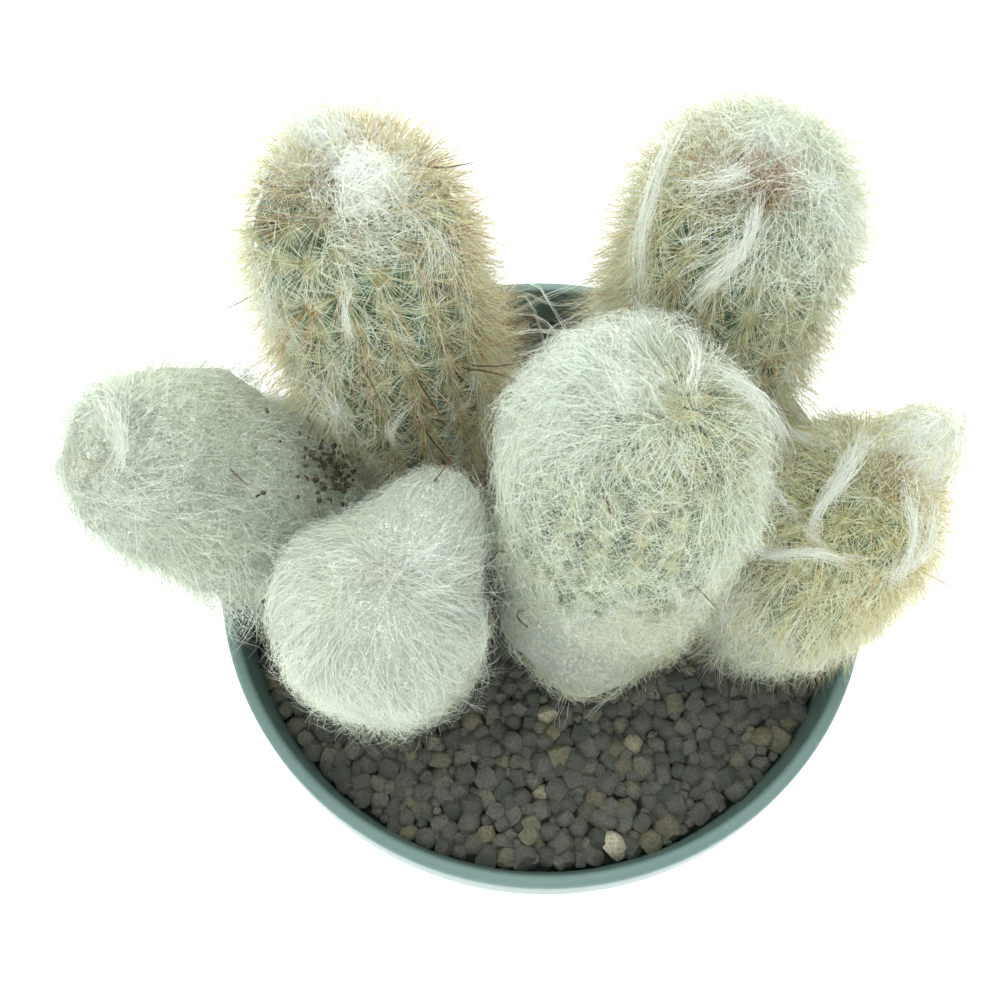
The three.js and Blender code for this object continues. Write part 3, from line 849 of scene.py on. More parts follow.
def woolOf(stem, layer, rng):
    layer = {**layerBasics, **layer}
    q, turn = rootsOf(stem, layer, rng)
    n = len(q)
    stray = math.radians(layer["stray"])
    heading = math.radians(layer["swirl"]) + rng.normal(0, stray, n)
    hairs = layer["hairs"]
    total = n * hairs
    q = np.repeat(q, hairs) + rng.normal(0, layer["spread"] * mm, total)
    q = np.clip(q, 0.3 * mm, stem.length - 0.3 * mm)
    around = np.maximum(stem.at(stem.radius, q), 4 * mm)
    offset = rng.normal(0, layer["spread"] * mm, total)
    turn = np.repeat(turn, hairs) + offset / around
    # a lock's hairs lean towards its middle as they run out
    gather = layer["gather"] * offset / (0.6 * layer["length"] * mm)
    heading = np.repeat(heading, hairs) - gather + rng.normal(0, 0.12 + 0.25 * stray, total)
    length = layer["length"] * mm * rng.uniform(0.55, 1.2, total)
    curl = layer["bend"]
    bend = np.repeat(rng.normal(0, 0.8 * curl, n), hairs) + rng.normal(0, 0.4 * curl, total)
    root, mid, tip = layer["lift"]
    vary = np.repeat(rng.uniform(0.5, 1.1, n), hairs) * rng.uniform(0.75, 1.15, total)
    lifts = np.array([root * 0.8 * vary, mid * vary, tip * vary * rng.uniform(0.4, 1.4, total)]) * mm
    path = comb(stem, q, turn, heading, length, lifts, bend, layer["steps"], layer["whorl"])
    frizz = rng.normal(0, 0.2 * mm, path.shape)
    frizz[:, 0] = 0
    thick = layer["thick"] * mm * rng.uniform(0.7, 1.2, total)
    patches = lumpsAt(path[:, 0], rng, 30 * mm, 14 * mm)
    tone = layer["tone"] + 0.25 * (0.4 - q / stem.length)  # creamier towards the foot
    tone = np.clip(tone + rng.normal(0, 0.12, total) + 0.16 * patches, 0, 1)
    full = lumpsAt(path[:, 0], rng, 12 * mm, 5 * mm) > layer["gaps"]  # it thins out here and there
    return (path + frizz)[full], thick[full], tone[full]


def furOf(stem, fur, bare, rng):  # fine dull hair that stands between the spines
    fur = {**furBasics, **fur}
    q, turn = rootsOf(stem, fur, rng)
    clear = clearOf(stem, q, turn, bare)
    q, turn = q[clear], turn[clear]
    n = len(q)
    heading = rng.normal(0, fur["stray"], n)
    length = fur["length"] * mm * rng.uniform(0.6, 1.2, n)
    tips = rng.uniform(0.2, 1.0, n) * fur["stand"]
    lifts = np.array([0.3 * np.ones(n), 0.6 * tips, tips]) * mm
    path = comb(stem, q, turn, heading, length, lifts, rng.normal(0, fur["curl"], n), 1)
    tone = np.clip(rng.normal(fur["tone"], fur["toneSpread"], n), 0, 1)
    return path, fur["thick"] * mm * rng.uniform(0.7, 1.1, n), tone


# Colours of each kind of strand at its root and its tip, from pale to golden; fade is where along it the one
# gives way to the other. The white silk and the twisted white locks, and a little the loose cotton wool, are
# darker at the root: painted shade where they lie close to the skin and to each other. glow is a painted
# glow that stands in for light coming through the strands.
strandLooks = {
    # its darker, greener root colours are painted shade near the skin
    "white silk": {
        "root": ["#cad6c6", "#c8cfae", "#c3c08c"], "tip": ["#ecf4ea", "#e4ebcd", "#e0dba8"],
        "fade": (0.0, 0.5), "roughness": 0.5, "specular": 0.35, "glow": 0.05},
    "loose cotton wool": {
        "root": ["#f2f9ee", "#ecf3e8"], "tip": ["#fafff6", "#f4faee"],
        "fade": (0.0, 0.4), "roughness": 0.6, "specular": 0.3, "glow": 0.05},
    "radial spines": {
        "root": ["#ccd2ae", "#dcd49c", "#d0b070"], "tip": ["#e2ecd6", "#ece8b8", "#e6d094"],
        "fade": (0.0, 0.3), "roughness": 0.5, "specular": 0.35, "glow": 0.11},
    "central spines": {
        "root": ["#d8d2a4", "#cfab78", "#ac6c58"], "tip": ["#dcd8ac", "#cdab78", "#b07a58"],
        "fade": (0.0, 0.3), "roughness": 0.45, "specular": 0.4, "glow": 0.0},
    "young spines": {
        "root": ["#c2b88c", "#93805e", "#8e6c42", "#96683a"],
        "tip": ["#dcd4b0", "#b8a280", "#bc9866", "#c8965c"],
        "fade": (0.0, 0.6), "roughness": 0.45, "specular": 0.4, "glow": 0.0},
    # its darker root colours are painted shade near the skin
    "twisted white locks": {
        "root": ["#e2e8e0", "#d6dbd2"], "tip": ["#eef3ec", "#e0e4da"],
        "fade": (0.0, 0.4), "roughness": 0.5, "specular": 0.35, "glow": 0.06},
    "old brown spines": {
        "root": ["#5e4636", "#4a3c32"], "tip": ["#8a6448", "#5a4638"],
        "fade": (0.2, 0.9), "roughness": 0.5, "specular": 0.35, "glow": 0.0},
}
strands = {name: strandMaterial(name, look) for name, look in strandLooks.items()}


skinColours = {"shade": "#20362a", "green": "#3a6044", "cells": "#7d9a70", "wool": "#aab59f",
               "cushion": "#ddd8ae", "underWool": "#42684a"}


def skinMaterial():
    shade, green, pale, wool, cushion = [paint(skinColours[key])
                                         for key in ("shade", "green", "cells", "wool", "cushion")]
    material, shader, tree = newMaterial("green skin", 0.6, 0.35)
    where = objectSpace(tree)
    cells = where.noise(900.0, 4.0)
    colour = where.noise(120.0, 3.0).between(0.35, 0.65).mix(shade, green)
    colour = (cells.between(0.4, 0.7) * 0.3).mix(colour, pale)
    colour = (noted(tree, "wool") * cells.between(0.3, 0.55)).mix(colour, wool)
    (noted(tree, "cushion") * 0.9).mix(colour, cushion).into(shader, "Base Color")
    cells.dent(shader, 0.5, 0.2)
    return material


def threadsOf(where):  # a web of thin curling lines, 0 between them and 1 along them
    web = None
    for scale, distortion in ((750.0, 1.2), (1300.0, 0.8), (2100.0, 0.5)):
        line = where.maths("ABSOLUTE", where.noise(scale, 2.0, Distortion=distortion) - 0.5)
        line = line.between(0.07, 0.0)
        web = line if web is None else where.maths("MAXIMUM", web, line)
    return web


def woolMaterial(name, look):
    material, shader, tree = newMaterial(name, 0.95, 0.2, sheen=0.3)
    where = objectSpace(tree)
    threads = threadsOf(where)
    deep = where.noise(420.0, 2.0)
    base = where.noise(90.0, 3.0).between(0.38, 0.62).mix(*[paint(code) for code in look["blotches"]])
    # the gaps colour lies in the bump's hollows: painted shade between the wool's clumps
    base = (deep.between(0.56, 0.38) * 0.8).mix(base, paint(look["gaps"]))
    base = (threads * 0.85).mix(base, paint(look["threads"]))
    bare = (noted(tree, "bare") + deep * 0.6 - 0.3).between(0.05, 0.35)
    (threads + deep * 2.0).dent(shader, look["relief"], 0.4)
    return glowing(material, shader, bare.mix(base, paint(skinColours["underWool"])), look["glow"])


greenSkin = skinMaterial()
# Each wool's colours. gaps is painted shade in the hollows between its clumps, and glow a painted glow that
# stands in for light coming through the fibres.
woolLooks = {
    "matted wool": {"gaps": "#7a8e76", "blotches": ("#b6c6ae", "#cfd6b6"), "threads": "#e6eee0",
                    "relief": 1.0, "glow": 0.03},
    "soft felted wool": {"gaps": "#b4c2b0", "blotches": ("#ccd8c6", "#dce2cc"), "threads": "#eef5ea",
                         "relief": 1.0, "glow": 0.0},
    "white wool": {"gaps": "#dde4db", "blotches": ("#eaf0e8", "#f2f6ee"), "threads": "#fafcf8",
                   "relief": 0.7, "glow": 0.03},
}
wools = {name: woolMaterial(name, look) for name, look in woolLooks.items()}

for index, (name, look) in enumerate(stemLooks.items()):
    stem = stems[name]
    rng = np.random.default_rng(100 + index)
    areoles = areolesOf(stem, look, rng)
    areoles = areoles[clearOf(stem, areoles[:, 0], areoles[:, 1], look["bare"])]
    place(fleshOf(name, stem, look, areoles), "stem_skin", greenSkin, "stem_" + name)
    if look["felt"] > 0:
        wool = wools["matted wool" if name == "far_left" else "soft felted wool"]
        place(feltOf(name, stem, look, 200 + index), "spine_coat", wool)
    radial, central = spinesOf(stem, look, areoles, rng)
    if name in furLooks:
        radial.append(furOf(stem, furLooks[name], look["bare"], rng))
    coat = [("radials_", radial, 300, "radial spines", ["coat_" + name]),
            ("centrals_", central, 400, "central spines", [])]
    if look["patches"]:
        young = [patchOf(stem, patch, rng) for patch in look["patches"]]
        coat.append(("young_spines_", young, 450, "young spines", []))
    silk = [woolOf(stem, layer, rng) for layer in woolLayers[name]]
    coat.append(("silk_", silk, 500, "white silk", []))
    for kind, batches, seed, finish, replaced in coat:
        place(strandObject(kind + name, batches, seed + index), "spine_coat", strands[finish], *replaced)
    print("stem %s dressed, %d areoles" % (name, len(areoles)))


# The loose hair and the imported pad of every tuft, in millimetres. waves and ripples are how ragged
# its outline is. fill is the share of its mound that a pad fills, least how high its top stays over
# the skin, and edge and under how high its edge and its underside lie.
hairLook = {"thick": 0.10, "bend": 1.2, "frizz": 0.3, "waves": 0.35, "ripples": 0.2, "tone": 0.05}
coreLook = {"segments": 44, "rings": 20, "waves": 0.22, "ripples": 0.12, "fill": 0.85, "lumps": 0.3,
            "least": 1.4, "edge": 1.0, "under": 0.6}


def raggedEdge(heading, seed, look):  # how far out an edge lies, about 1
    waves = look["waves"] * np.sin(3 * heading + seed)
    return 1 + waves + look["ripples"] * np.sin(5 * heading + 2 * seed)


def tuftPiece(node, look, seed):  # loose cotton-like hair, in and round the mound
    rng = np.random.default_rng(seed)
    stem = stems[look["stem"]]
    centre, reach, height = look["mound"]
    n = look["hairs"]
    heading = rng.uniform(0, 2 * math.pi, n)
    start = look["ragged"] * reach * rng.uniform(0, 1, n) ** 0.6
    q, turn = shifted(stem, *stem.nearest(centre), heading, start * raggedEdge(heading, seed, hairLook))
    free = rng.uniform(0, 1, n) ** 2
    middle, stray = [math.radians(angle) for angle in look["comb"]]
    heading = middle + rng.uniform(-stray, stray, n)
    bend = rng.normal(0, hairLook["bend"], n)
    length = look["length"] * mm * rng.uniform(0.5, 1.2, n)
    low = rng.uniform(-0.12, 0.08, n) * height
    stand = look["stand"] * mm * free
    lifts = np.array([low, low + (0.08 * height + stand) * rng.uniform(0.3, 1, n),
                      low + stand * rng.uniform(0.2, 1.4, n)])
    path = comb(stem, q, turn, heading, length, lifts, bend, 3, look["whorl"])
    path += rng.normal(0, hairLook["frizz"] * mm, path.shape)
    thick = hairLook["thick"] * mm * rng.uniform(0.7, 1.2, n)
    tone = np.clip(rng.normal(hairLook["tone"], 0.05, n), 0, 1)
    return strandObject("wool_" + node, [(path, thick, tone)], seed)


def tuftCore(node, look, seed):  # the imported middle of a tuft: a lumpy pad that lies on the spines
    rng = np.random.default_rng(seed)
    stem = stems[look["stem"]]
    centre, reach, _ = look["mound"]
    piece, ball = addBall("core_" + node, coreLook["segments"], coreLook["rings"])
    heading = np.arctan2(ball[:, 1], ball[:, 0])
    out = np.hypot(ball[:, 0], ball[:, 1])
    edge = out * raggedEdge(heading, seed, coreLook) * reach * look["core"]
    q, turn = shifted(stem, *stem.nearest(centre), heading, edge)
    skin, normal = stem.place(q, turn)
    lumps = lumpsAt(skin, rng, 5 * mm, 1.5 * mm)
    top = coreLook["fill"] * stem.moundLift(skin) + coreLook["lumps"] * mm * lumps * (out < 0.97)
    top = np.maximum(top, coreLook["least"] * mm)
    rim = np.where(ball[:, 2] < -1e-6, coreLook["under"] * mm, coreLook["edge"] * mm)
    lift = np.where(ball[:, 2] > 1e-6, top, rim)
    moveTo(piece.data, skin + normal * lift[:, None])
    bpy.ops.object.mode_set(mode="EDIT")
    closeOutwards()
    return piece


for index, (node, look) in enumerate(tuftLooks.items()):
    place(tuftCore(node, look, 600 + index), "wool_tuft", wools["white wool"], node)
    place(tuftPiece(node, look, 700 + index), "wool_tuft", strands["loose cotton wool"])
print("tufts done")

# Locks that lie free over the stems. A lock is (hairs, width in millimetres, way), and its way is
# the places that it passes, each as (share of the stem's height, bearing, lift).
lockLooks = {
    "back_left": [
        (33, 0.5, [(0.84, 4, 4), (0.77, 2, 5), (0.74, 6, 4)]),
        (39, 0.7, [(0.57, 18, 4), (0.5, 6, 5), (0.43, 5, 4), (0.39, 14, 4)]),
        (58, 2.6, [(0.84, -40, 4), (0.78, -34, 5), (0.72, -24, 4)]),
        (44, 2.6, [(0.87, 64, 4), (0.8, 50, 5), (0.72, 40, 4)]),
        (46, 2.0, [(0.64, -26, 4), (0.54, -14, 5), (0.43, -8, 4)])],
    "back_right": [
        (78, 1.1, [(0.9, -130, 6), (0.85, -76, 6), (0.75, -52, 6), (0.7, -44, 5)]),
        (78, 1.5, [(0.96, -20, 5), (0.92, -50, 6), (0.84, -80, 6)]),
        (91, 0.8, [(0.93, -12, 5), (0.87, -12, 6), (0.8, -26, 6), (0.68, -30, 5)]),
        (46, 1.8, [(0.89, -14, 6), (0.85, -16, 6), (0.8, -20, 5)]),
        (33, 0.6, [(0.69, -56, 5), (0.71, -40, 6), (0.76, -26, 5)]),
        (78, 2.6, [(0.95, 10, 5), (0.92, 40, 6), (0.88, 70, 6)])],
    "far_right": [
        (91, 1.0, [(0.92, -132, 5), (0.86, -78, 7), (0.77, -62, 6), (0.71, -50, 5), (0.68, -34, 5)]),
        (52, 0.7, [(0.9, -100, 6), (0.82, -66, 7), (0.74, -56, 5)]),
        (52, 1.0, [(0.62, -134, 8), (0.74, -114, 7), (0.86, -94, 5)]),
        (44, 0.6, [(0.64, -102, 8), (0.7, -80, 7), (0.75, -58, 5)]),
        (65, 0.8, [(0.54, -78, 8), (0.63, -58, 6), (0.72, -36, 5), (0.77, -10, 5)]),
        (57, 0.9, [(0.95, -26, 6), (0.84, -8, 7), (0.75, -6, 7), (0.65, -2, 6)]),
        (52, 1.0, [(0.9, 18, 6), (0.79, 2, 7), (0.68, -18, 5)]),
        (52, 2.2, [(0.48, -66, 5), (0.36, -54, 5), (0.22, -44, 4)])],
    "front_centre": [
        (78, 1.4, [(0.92, 120, 4), (0.85, 98, 5), (0.76, 88, 5), (0.64, 80, 4)]),
        (39, 1.2, [(0.8, 170, 4), (0.9, 140, 5), (0.95, 90, 5), (0.9, 44, 4)])],
    "front_left": [
        (221, 4.6, [(0.93, 122, 3), (0.86, 108, 4), (0.76, 112, 4)])],
    "far_left": [
        (33, 0.9, [(0.95, -10, 4), (0.9, -40, 9), (0.86, -50, 13)]),
        (78, 1.4, [(0.92, 110, 4), (0.88, 76, 5), (0.855, 52, 5), (0.85, 20, 4)])],
}

# How the hairs of a lock lie, in millimetres: each with so many steps, how far they wave and frizz,
# and how the lock fans out towards its ends, as shares of its width.
lockShape = {"steps": 5, "thick": 0.07, "wave": 0.6, "frizz": 0.12, "narrow": 0.45, "fanned": 2.3}

longSpineThickness = 0.42  # millimetres
# Long old spines: (stem, share of the height, bearing) of the foot, then of the tip with its lift.
longSpines = [
    ("back_left", 0.49, 54, "front_centre", 0.83, -102, 7),
    ("back_left", 0.53, 48, "back_left", 0.48, 72, 10),
    ("back_left", 0.66, -6, "back_left", 0.54, 6, 7),
    ("back_left", 0.58, 22, "back_left", 0.48, 28, 8),
    ("back_left", 0.45, 18, "back_left", 0.36, 28, 8),
    ("back_left", 0.62, -88, "back_left", 0.58, -84, 10),
    ("front_centre", 0.20, -52, "front_centre", 0.52, -40, 8),
    ("front_centre", 0.40, -74, "front_centre", 0.52, -62, 8),
    ("front_centre", 0.80, -20, "front_centre", 0.85, -24, 7),
    ("front_centre", 0.60, 24, "front_centre", 0.51, 36, 7),
    ("back_right", 0.50, 2, "back_right", 0.54, 24, 10),
    ("front_left", 0.81, 156, "front_left", 0.74, 148, 7),
    ("far_left", 0.66, 76, "far_left", 0.62, 66, 7),
    ("back_left", 0.87, 108, "back_left", 0.82, 100, 9),
    ("far_right", 0.60, 60, "far_right", 0.58, 66, 10),
]
# The cobweb of hairs between the two back stems: threads, hairs in each, the shares of the height
# that it hangs between, and how far it wanders and how thick it is, in millimetres.
webLook = {"threads": 34, "hairs": 4, "rows": (0.02, 0.34), "wander": 4.0, "thick": 0.12}
# Hair that strays from the feet of the stems over the granules: its bunches, the hairs in each,
# how far they reach and how thick they are, in millimetres.
fringeLook = {
    "bunches": {"front_left": 46, "front_centre": 40, "far_right": 34, "far_left": 16},
    "hairs": 5, "reach": (2, 8), "thick": 0.09}


def spotOver(name, share, bearing, lift):  # a place over a stem and its wool, lift in millimetres
    stem = stems[name]
    point, _ = stem.over(np.array([share * stem.length]), np.array([math.radians(bearing)]), lift * mm)
    return point[0]


def along(points, t):  # a smooth curve through the points, at t from 0 to 1
    points = np.concatenate([2 * points[:1] - points[1:2], points, 2 * points[-1:] - points[-2:-1]])
    at = np.clip(t, 0, 1) * (len(points) - 3)
    i = np.minimum(at.astype(int), len(points) - 4)
    f = (at - i)[..., None]
    p0, p1, p2, p3 = [points[i + k] for k in range(4)]
    bent = (2 * p0 - 5 * p1 + 4 * p2 - p3) * f ** 2 + (3 * p1 - p0 - 3 * p2 + p3) * f ** 3
    return 0.5 * (2 * p1 + (p2 - p0) * f + bent)


def straight(ends, points):  # a line of so many points, and how far along each one is
    t = np.linspace(0, 1, points)
    return ends[0] + (ends[1] - ends[0]) * t[:, None], t


def locksPiece():
    rng = np.random.default_rng(21)
    batches = []
    steps = np.linspace(0, 1, lockShape["steps"] + 1)
    allLocks = [(stems[name], *lock) for name, locks in lockLooks.items() for lock in locks]
    for stem, hairs, width, way in allLocks:
        start = rng.uniform(0, 0.35, hairs)[:, None]
        t = start + (rng.uniform(0.5, 1.0, hairs)[:, None] - start) * steps
        line = np.array([(share * stem.length, math.radians(bearing), lift * mm)
                         for share, bearing, lift in way])
        q, turn, lift = np.moveaxis(along(line, t), -1, 0)
        path, _ = stem.over(np.minimum(q, 2 * stem.length - q), turn, lift)
        side, twist, wave = rng.normal(0, 1, (3, hairs, 1, 3))
        apart = np.abs(t - rng.uniform(0.2, 0.6)) ** 1.3
        fan = width * mm * (lockShape["narrow"] + lockShape["fanned"] * apart)[..., None]
        path = path + fan * (side * np.cos(3 * t)[..., None] + twist * np.sin(3 * t)[..., None])
        path += lockShape["wave"] * mm * wave * np.sin(rng.uniform(5, 14, (hairs, 1)) * t)[..., None]
        path += rng.normal(0, lockShape["frizz"] * mm, path.shape)
        thick = lockShape["thick"] * mm * rng.uniform(0.6, 1.2, hairs)
        batches.append((path, thick, rng.uniform(0, 1, hairs)))
    return strandObject("loose_locks", batches, 22)


def longSpinesPiece():
    rng = np.random.default_rng(23)
    batches = []
    for foot, footShare, footBearing, *tip in longSpines:
        ends = np.array([spotOver(foot, footShare, footBearing, 0), spotOver(*tip)])
        path, t = straight(ends, 5)
        sag = rng.normal(0, 0.05, 3) * np.linalg.norm(ends[1] - ends[0])
        path = path + sag * (4 * t * (1 - t))[:, None]
        batches.append((path[None], np.array([longSpineThickness * mm]), rng.uniform(0, 1, 1)))
    return strandObject("long_spines", batches, 24)


def webPiece(look):
    rng = np.random.default_rng(25)
    hairs = look["hairs"]
    batches = []
    for _ in range(look["threads"]):
        share = rng.uniform(*look["rows"])
        ends = [spotOver(name, share + rng.normal(0, 0.05), rng.uniform(low, high), 2)
                for name, low, high in (("back_left", 75, 150), ("back_right", -150, -75))]
        path, t = straight(np.array(ends), 9)
        wander = rng.normal(0, look["wander"] * mm, (2, 3))
        for waves in (1, 2):
            path = path + wander[waves - 1] * np.sin(waves * math.pi * t)[:, None]
        path[:, 2] = np.maximum(path[:, 2], soilTop + 1 * mm)
        fray = rng.normal(0, 0.25 * mm, (hairs, 1, 3))
        paths = path[None] + fray + rng.normal(0, 0.12 * mm, (hairs, 9, 3))
        batches.append((paths, np.full(hairs, look["thick"] * mm), rng.uniform(0, 1, hairs)))
    return strandObject("cobweb_hairs", batches, 26)


def fringePiece(look):
    rng = np.random.default_rng(27)
    hairs = look["hairs"]
    batches = []
    for name, bunches in look["bunches"].items():
        stem = stems[name]
        n = bunches * hairs
        turn = np.repeat(rng.uniform(-math.pi, math.pi, bunches), hairs) + rng.normal(0, 0.03, n)
        reach = np.repeat(rng.uniform(*look["reach"], bunches), hairs) * rng.uniform(0.6, 1.1, n) * mm
        _, normal = stem.place(np.zeros(n), turn)
        outwards = unit(normal * [1, 1, 0])
        root, _ = stem.over(np.full(n, 2.0 * mm), turn, 1.5 * mm)
        t = np.linspace(0, 1, 4)
        side = np.cross(outwards, [0, 0, 1.0]) * np.repeat(rng.normal(0, 0.4, bunches), hairs)[:, None]
        path = root[:, None] + (outwards + side)[:, None] * (reach[:, None] * t)[..., None]
        path[..., 2] -= (root[:, 2] - soilTop - 0.8 * mm)[:, None] * np.minimum(2.2 * t, 1)
        path += rng.normal(0, 0.6 * mm, path.shape) * t[:, None]
        batches.append((path, look["thick"] * mm * rng.uniform(0.7, 1.1, n), rng.uniform(0, 1, n)))
    return strandObject("foot_fringe", batches, 28)


place(locksPiece(), "wool_tuft", strands["twisted white locks"])
place(longSpinesPiece(), "spine_coat", strands["old brown spines"])
place(webPiece(webLook), "wool_tuft", strands["twisted white locks"])
place(fringePiece(fringeLook), "spine_coat", strands["twisted white locks"])

# Loose stones: their sizes in millimetres, tried one after another, how many shapes they come in,
# how round and how uneven those are, how far each one is stretched, how near they lie, and how
# unevenly they settled.
granuleLook = {"sizes": (3.4, 2.9, 2.5, 2.1, 1.6), "vary": (0.88, 1.12), "tries": 4200, "kinds": 12,
               "round": 0.72, "jitter": 0.11, "stretch": (0.85, 1.25), "near": 0.40,
               "sink": 0.35, "settle": (-0.9, 0.5), "smoothUnder": 55, "seed": 11}
# Dark crumbs caught in the wool, some alone and most where three stems meet, in a drift about
# (share, bearing) that spreads so far. Sizes and lifts over the skin are in millimetres.
crumbLook = {"kinds": 6, "round": 0.2, "jitter": 0.3, "stretch": (0.5, 1.6), "seed": 31,
             "drift": 90, "driftAt": (0.43, 88), "driftSpread": (0.03, 9),
             "driftSize": (0.25, 0.9), "driftLift": (2.2, 4.6), "aloneSize": (0.4, 0.7), "aloneLift": 3.6,
             "alone": [("far_left", 0.58, 108), ("far_left", 0.55, 92), ("far_left", 0.56, 66),
                       ("far_left", 0.50, 100), ("far_left", 0.57, 64), ("front_left", 0.62, -96)]}


def grainShapes(look):  # a few worn stones, each with its own shape
    shapes = []
    for kind in range(look["kinds"]):
        deselectAll()
        bpy.ops.mesh.primitive_cube_add(size=1)
        grain = bpy.context.object
        editAll()
        bpy.ops.mesh.subdivide(number_cuts=1)
        bpy.ops.transform.tosphere(value=look["round"])
        bpy.ops.transform.vertex_random(offset=look["jitter"], seed=kind)
        bpy.ops.object.mode_set(mode="OBJECT")
        faces = [tuple(face.vertices) for face in grain.data.polygons]
        shapes.append((coordsOf(grain.data), faces))
        bpy.data.objects.remove(grain)
    return shapes


def insideStems(places, margin):  # places on the granules that a stem covers
    hidden = np.zeros(len(places), bool)
    for stem in stems.values():
        centre = stem.at(stem.line, 0.0)
        reach = stem.at(stem.radius, 0.0) + margin
        hidden |= np.hypot(places[:, 0] - centre[0], places[:, 1] - centre[1]) < reach
    return hidden


def stonesPiece(name, places, grains, look, rng):  # one stone at each place, each with its own tone
    vertices, faces, tones, start = [], [], [], 0
    shapes = grainShapes(look)
    for i, (middle, grain) in enumerate(zip(places, grains)):
        shape, shapeFaces = shapes[i % len(shapes)]
        spin, _ = np.linalg.qr(rng.normal(size=(3, 3)))
        if np.linalg.det(spin) < 0:
            spin[:, 0] *= -1
        stretch = grain * rng.uniform(*look["stretch"], 3)
        vertices.append((shape * stretch) @ spin.T + middle)
        faces += [tuple(start + v for v in face) for face in shapeFaces]
        tones += [rng.uniform()] * sum(len(face) for face in shapeFaces)
        start += len(shape)
    mesh = bpy.data.meshes.new(name)
    mesh.from_pydata(np.concatenate(vertices).tolist(), [], faces)
    mesh.update()
    note(mesh, "tone", tones, "CORNER")
    print("%s: %d stones" % (name, len(places)))
    return addMesh(name, mesh)


def granulesPiece(look):
    rng = np.random.default_rng(look["seed"])
    taken = np.zeros((0, 3))
    for size in look["sizes"]:
        for _ in range(look["tries"]):
            grain = size * mm * rng.uniform(*look["vary"])
            reach = (soilRadius - 0.45 * grain) * math.sqrt(rng.uniform())
            turn = rng.uniform(0, 2 * math.pi)
            stone = np.array([reach * math.cos(turn), reach * math.sin(turn), grain])
            apart = np.hypot(taken[:, 0] - stone[0], taken[:, 1] - stone[1])
            if not (apart < look["near"] * (taken[:, 2] + grain)).any():
                taken = np.vstack([taken, stone])
    grains = taken[:, 2]
    height = soilTop - look["sink"] * grains + rng.uniform(*look["settle"], len(taken)) * mm
    places = np.column_stack([taken[:, :2], height])
    shown = ~insideStems(places, -1.0 * mm)
    piece = stonesPiece("granules", places[shown], grains[shown], look, rng)
    deselectAll()
    piece.select_set(True)
    bpy.context.view_layer.objects.active = piece
    bpy.ops.object.shade_smooth_by_angle(angle=math.radians(look["smoothUnder"]))
    return piece


def crumbsPiece(look):
    rng = np.random.default_rng(look["seed"])
    places = [spotOver(*spot, look["aloneLift"]) for spot in look["alone"]]
    grains = list(rng.uniform(*look["aloneSize"], len(places)) * mm)
    for _ in range(look["drift"]):
        share, bearing = [rng.normal(*both) for both in zip(look["driftAt"], look["driftSpread"])]
        places.append(spotOver("far_left", share, bearing, rng.uniform(*look["driftLift"])))
        grains.append(rng.uniform(*look["driftSize"]) * mm)
    return stonesPiece("crumbs", np.array(places), np.array(grains), look, rng)


# The stones' colours, from the darkest to the few palest: (share of the stones, colour).
granuleColours = [(0.0, "#4c514a"), (0.3, "#5a5b55"), (0.6, "#61635c"), (0.85, "#69685c"),
                  (0.985, "#77735f"), (1.0, "#beb8a2")]


def granuleMaterial():
    material, shader, tree = newMaterial("mineral granules", 0.92, 0.25)
    stops = [(share, paint(code)) for share, code in granuleColours]
    base = tree.make("ValToRGB", {"stops": stops}, {0: noted(tree, "tone")})
    pores = objectSpace(tree).noise(2200.0, 5.0)
    # the dark colour in the pits of the bump is painted shade in the pores
    (pores.between(0.55, 0.35) * 0.5).mix(base, paint("#373a35")).into(shader, "Base Color")
    pores.dent(shader, 0.8, 0.3)
    return material


def crumbMaterial():
    material, shader, tree = newMaterial("peat crumbs", 0.95, 0.2)
    noise = objectSpace(tree).noise(1500.0, 3.0)
    noise.between(0.35, 0.65).mix(paint("#3c392e"), paint("#6a6350")).into(shader, "Base Color")
    noise.dent(shader, 0.6, 0.2)
    return material


# The grit under the loose stones, in millimetres: how deep it lies under their level, its lumps,
# and how clear it stays of the pot's wall.
bedLook = {"segments": 80, "rings": 32, "deep": 2.4, "lumps": 0.5, "clear": 0.2, "tone": 0.1}


def bedPiece(look):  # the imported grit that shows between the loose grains
    rng = np.random.default_rng(12)
    piece, ball = addBall("granule_bed", look["segments"], look["rings"])
    reach = np.hypot(ball[:, 0], ball[:, 1])
    share = 1 - np.arccos(np.clip(reach, 0, 1)) / (math.pi / 2)  # evens the rings out
    across = soilRadius - look["clear"] * mm
    flat = ball[:, :2] / np.maximum(reach, 1e-9)[:, None] * share[:, None] * across
    lumps = rng.normal(0, look["lumps"] * mm, len(ball)) * (share < 0.99)
    height = np.where(ball[:, 2] > 0, soilTop - look["deep"] * mm + lumps, soilLow.z + look["clear"] * mm)
    height = np.where(np.abs(ball[:, 2]) < 1e-6, (soilLow.z + soilTop) / 2, height)
    moveTo(piece.data, np.column_stack([flat, height]))
    note(piece.data, "tone", np.full(len(piece.data.loops), look["tone"]), "CORNER")
    return piece


stone = granuleMaterial()
place(granulesPiece(granuleLook), "mineral_granules", stone, "surface_granules")
place(crumbsPiece(crumbLook), "mineral_granules", crumbMaterial())
place(bedPiece(bedLook), "mineral_granules", stone)
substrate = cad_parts["substrate"].data
substrate.materials.clear()
substrate.materials.append(stone)

# The pot in millimetres; its rim and height come from the frame. band is the thick strip below the
# rim, bandCorner is how it is rounded, as (in from the rim, up), and outer and inner are the heights
# of the rings that its wall is drawn through.
potLook = {
    "steps": 128, "lipWidth": 2.6, "lipRound": 0.9, "bandHeight": 9,
    "bandCorner": [(0.9, -0.9), (0.25, -0.35), (0.0, 0.3)], "baseRadius": 46, "baseRound": 1.5,
    "wall": 1.4, "floor": 2.2, "outer": range(10, 88, 13), "inner": (80, 60, 40, 20, 5), "holes": 8,
    "holeRadius": 4, "holeCircle": 33, "holeSteps": 24, "cutDepth": 8,
    "grooveWidth": 5, "grooveDepth": 1, "hubRadius": 24, "smoothUnder": 35}


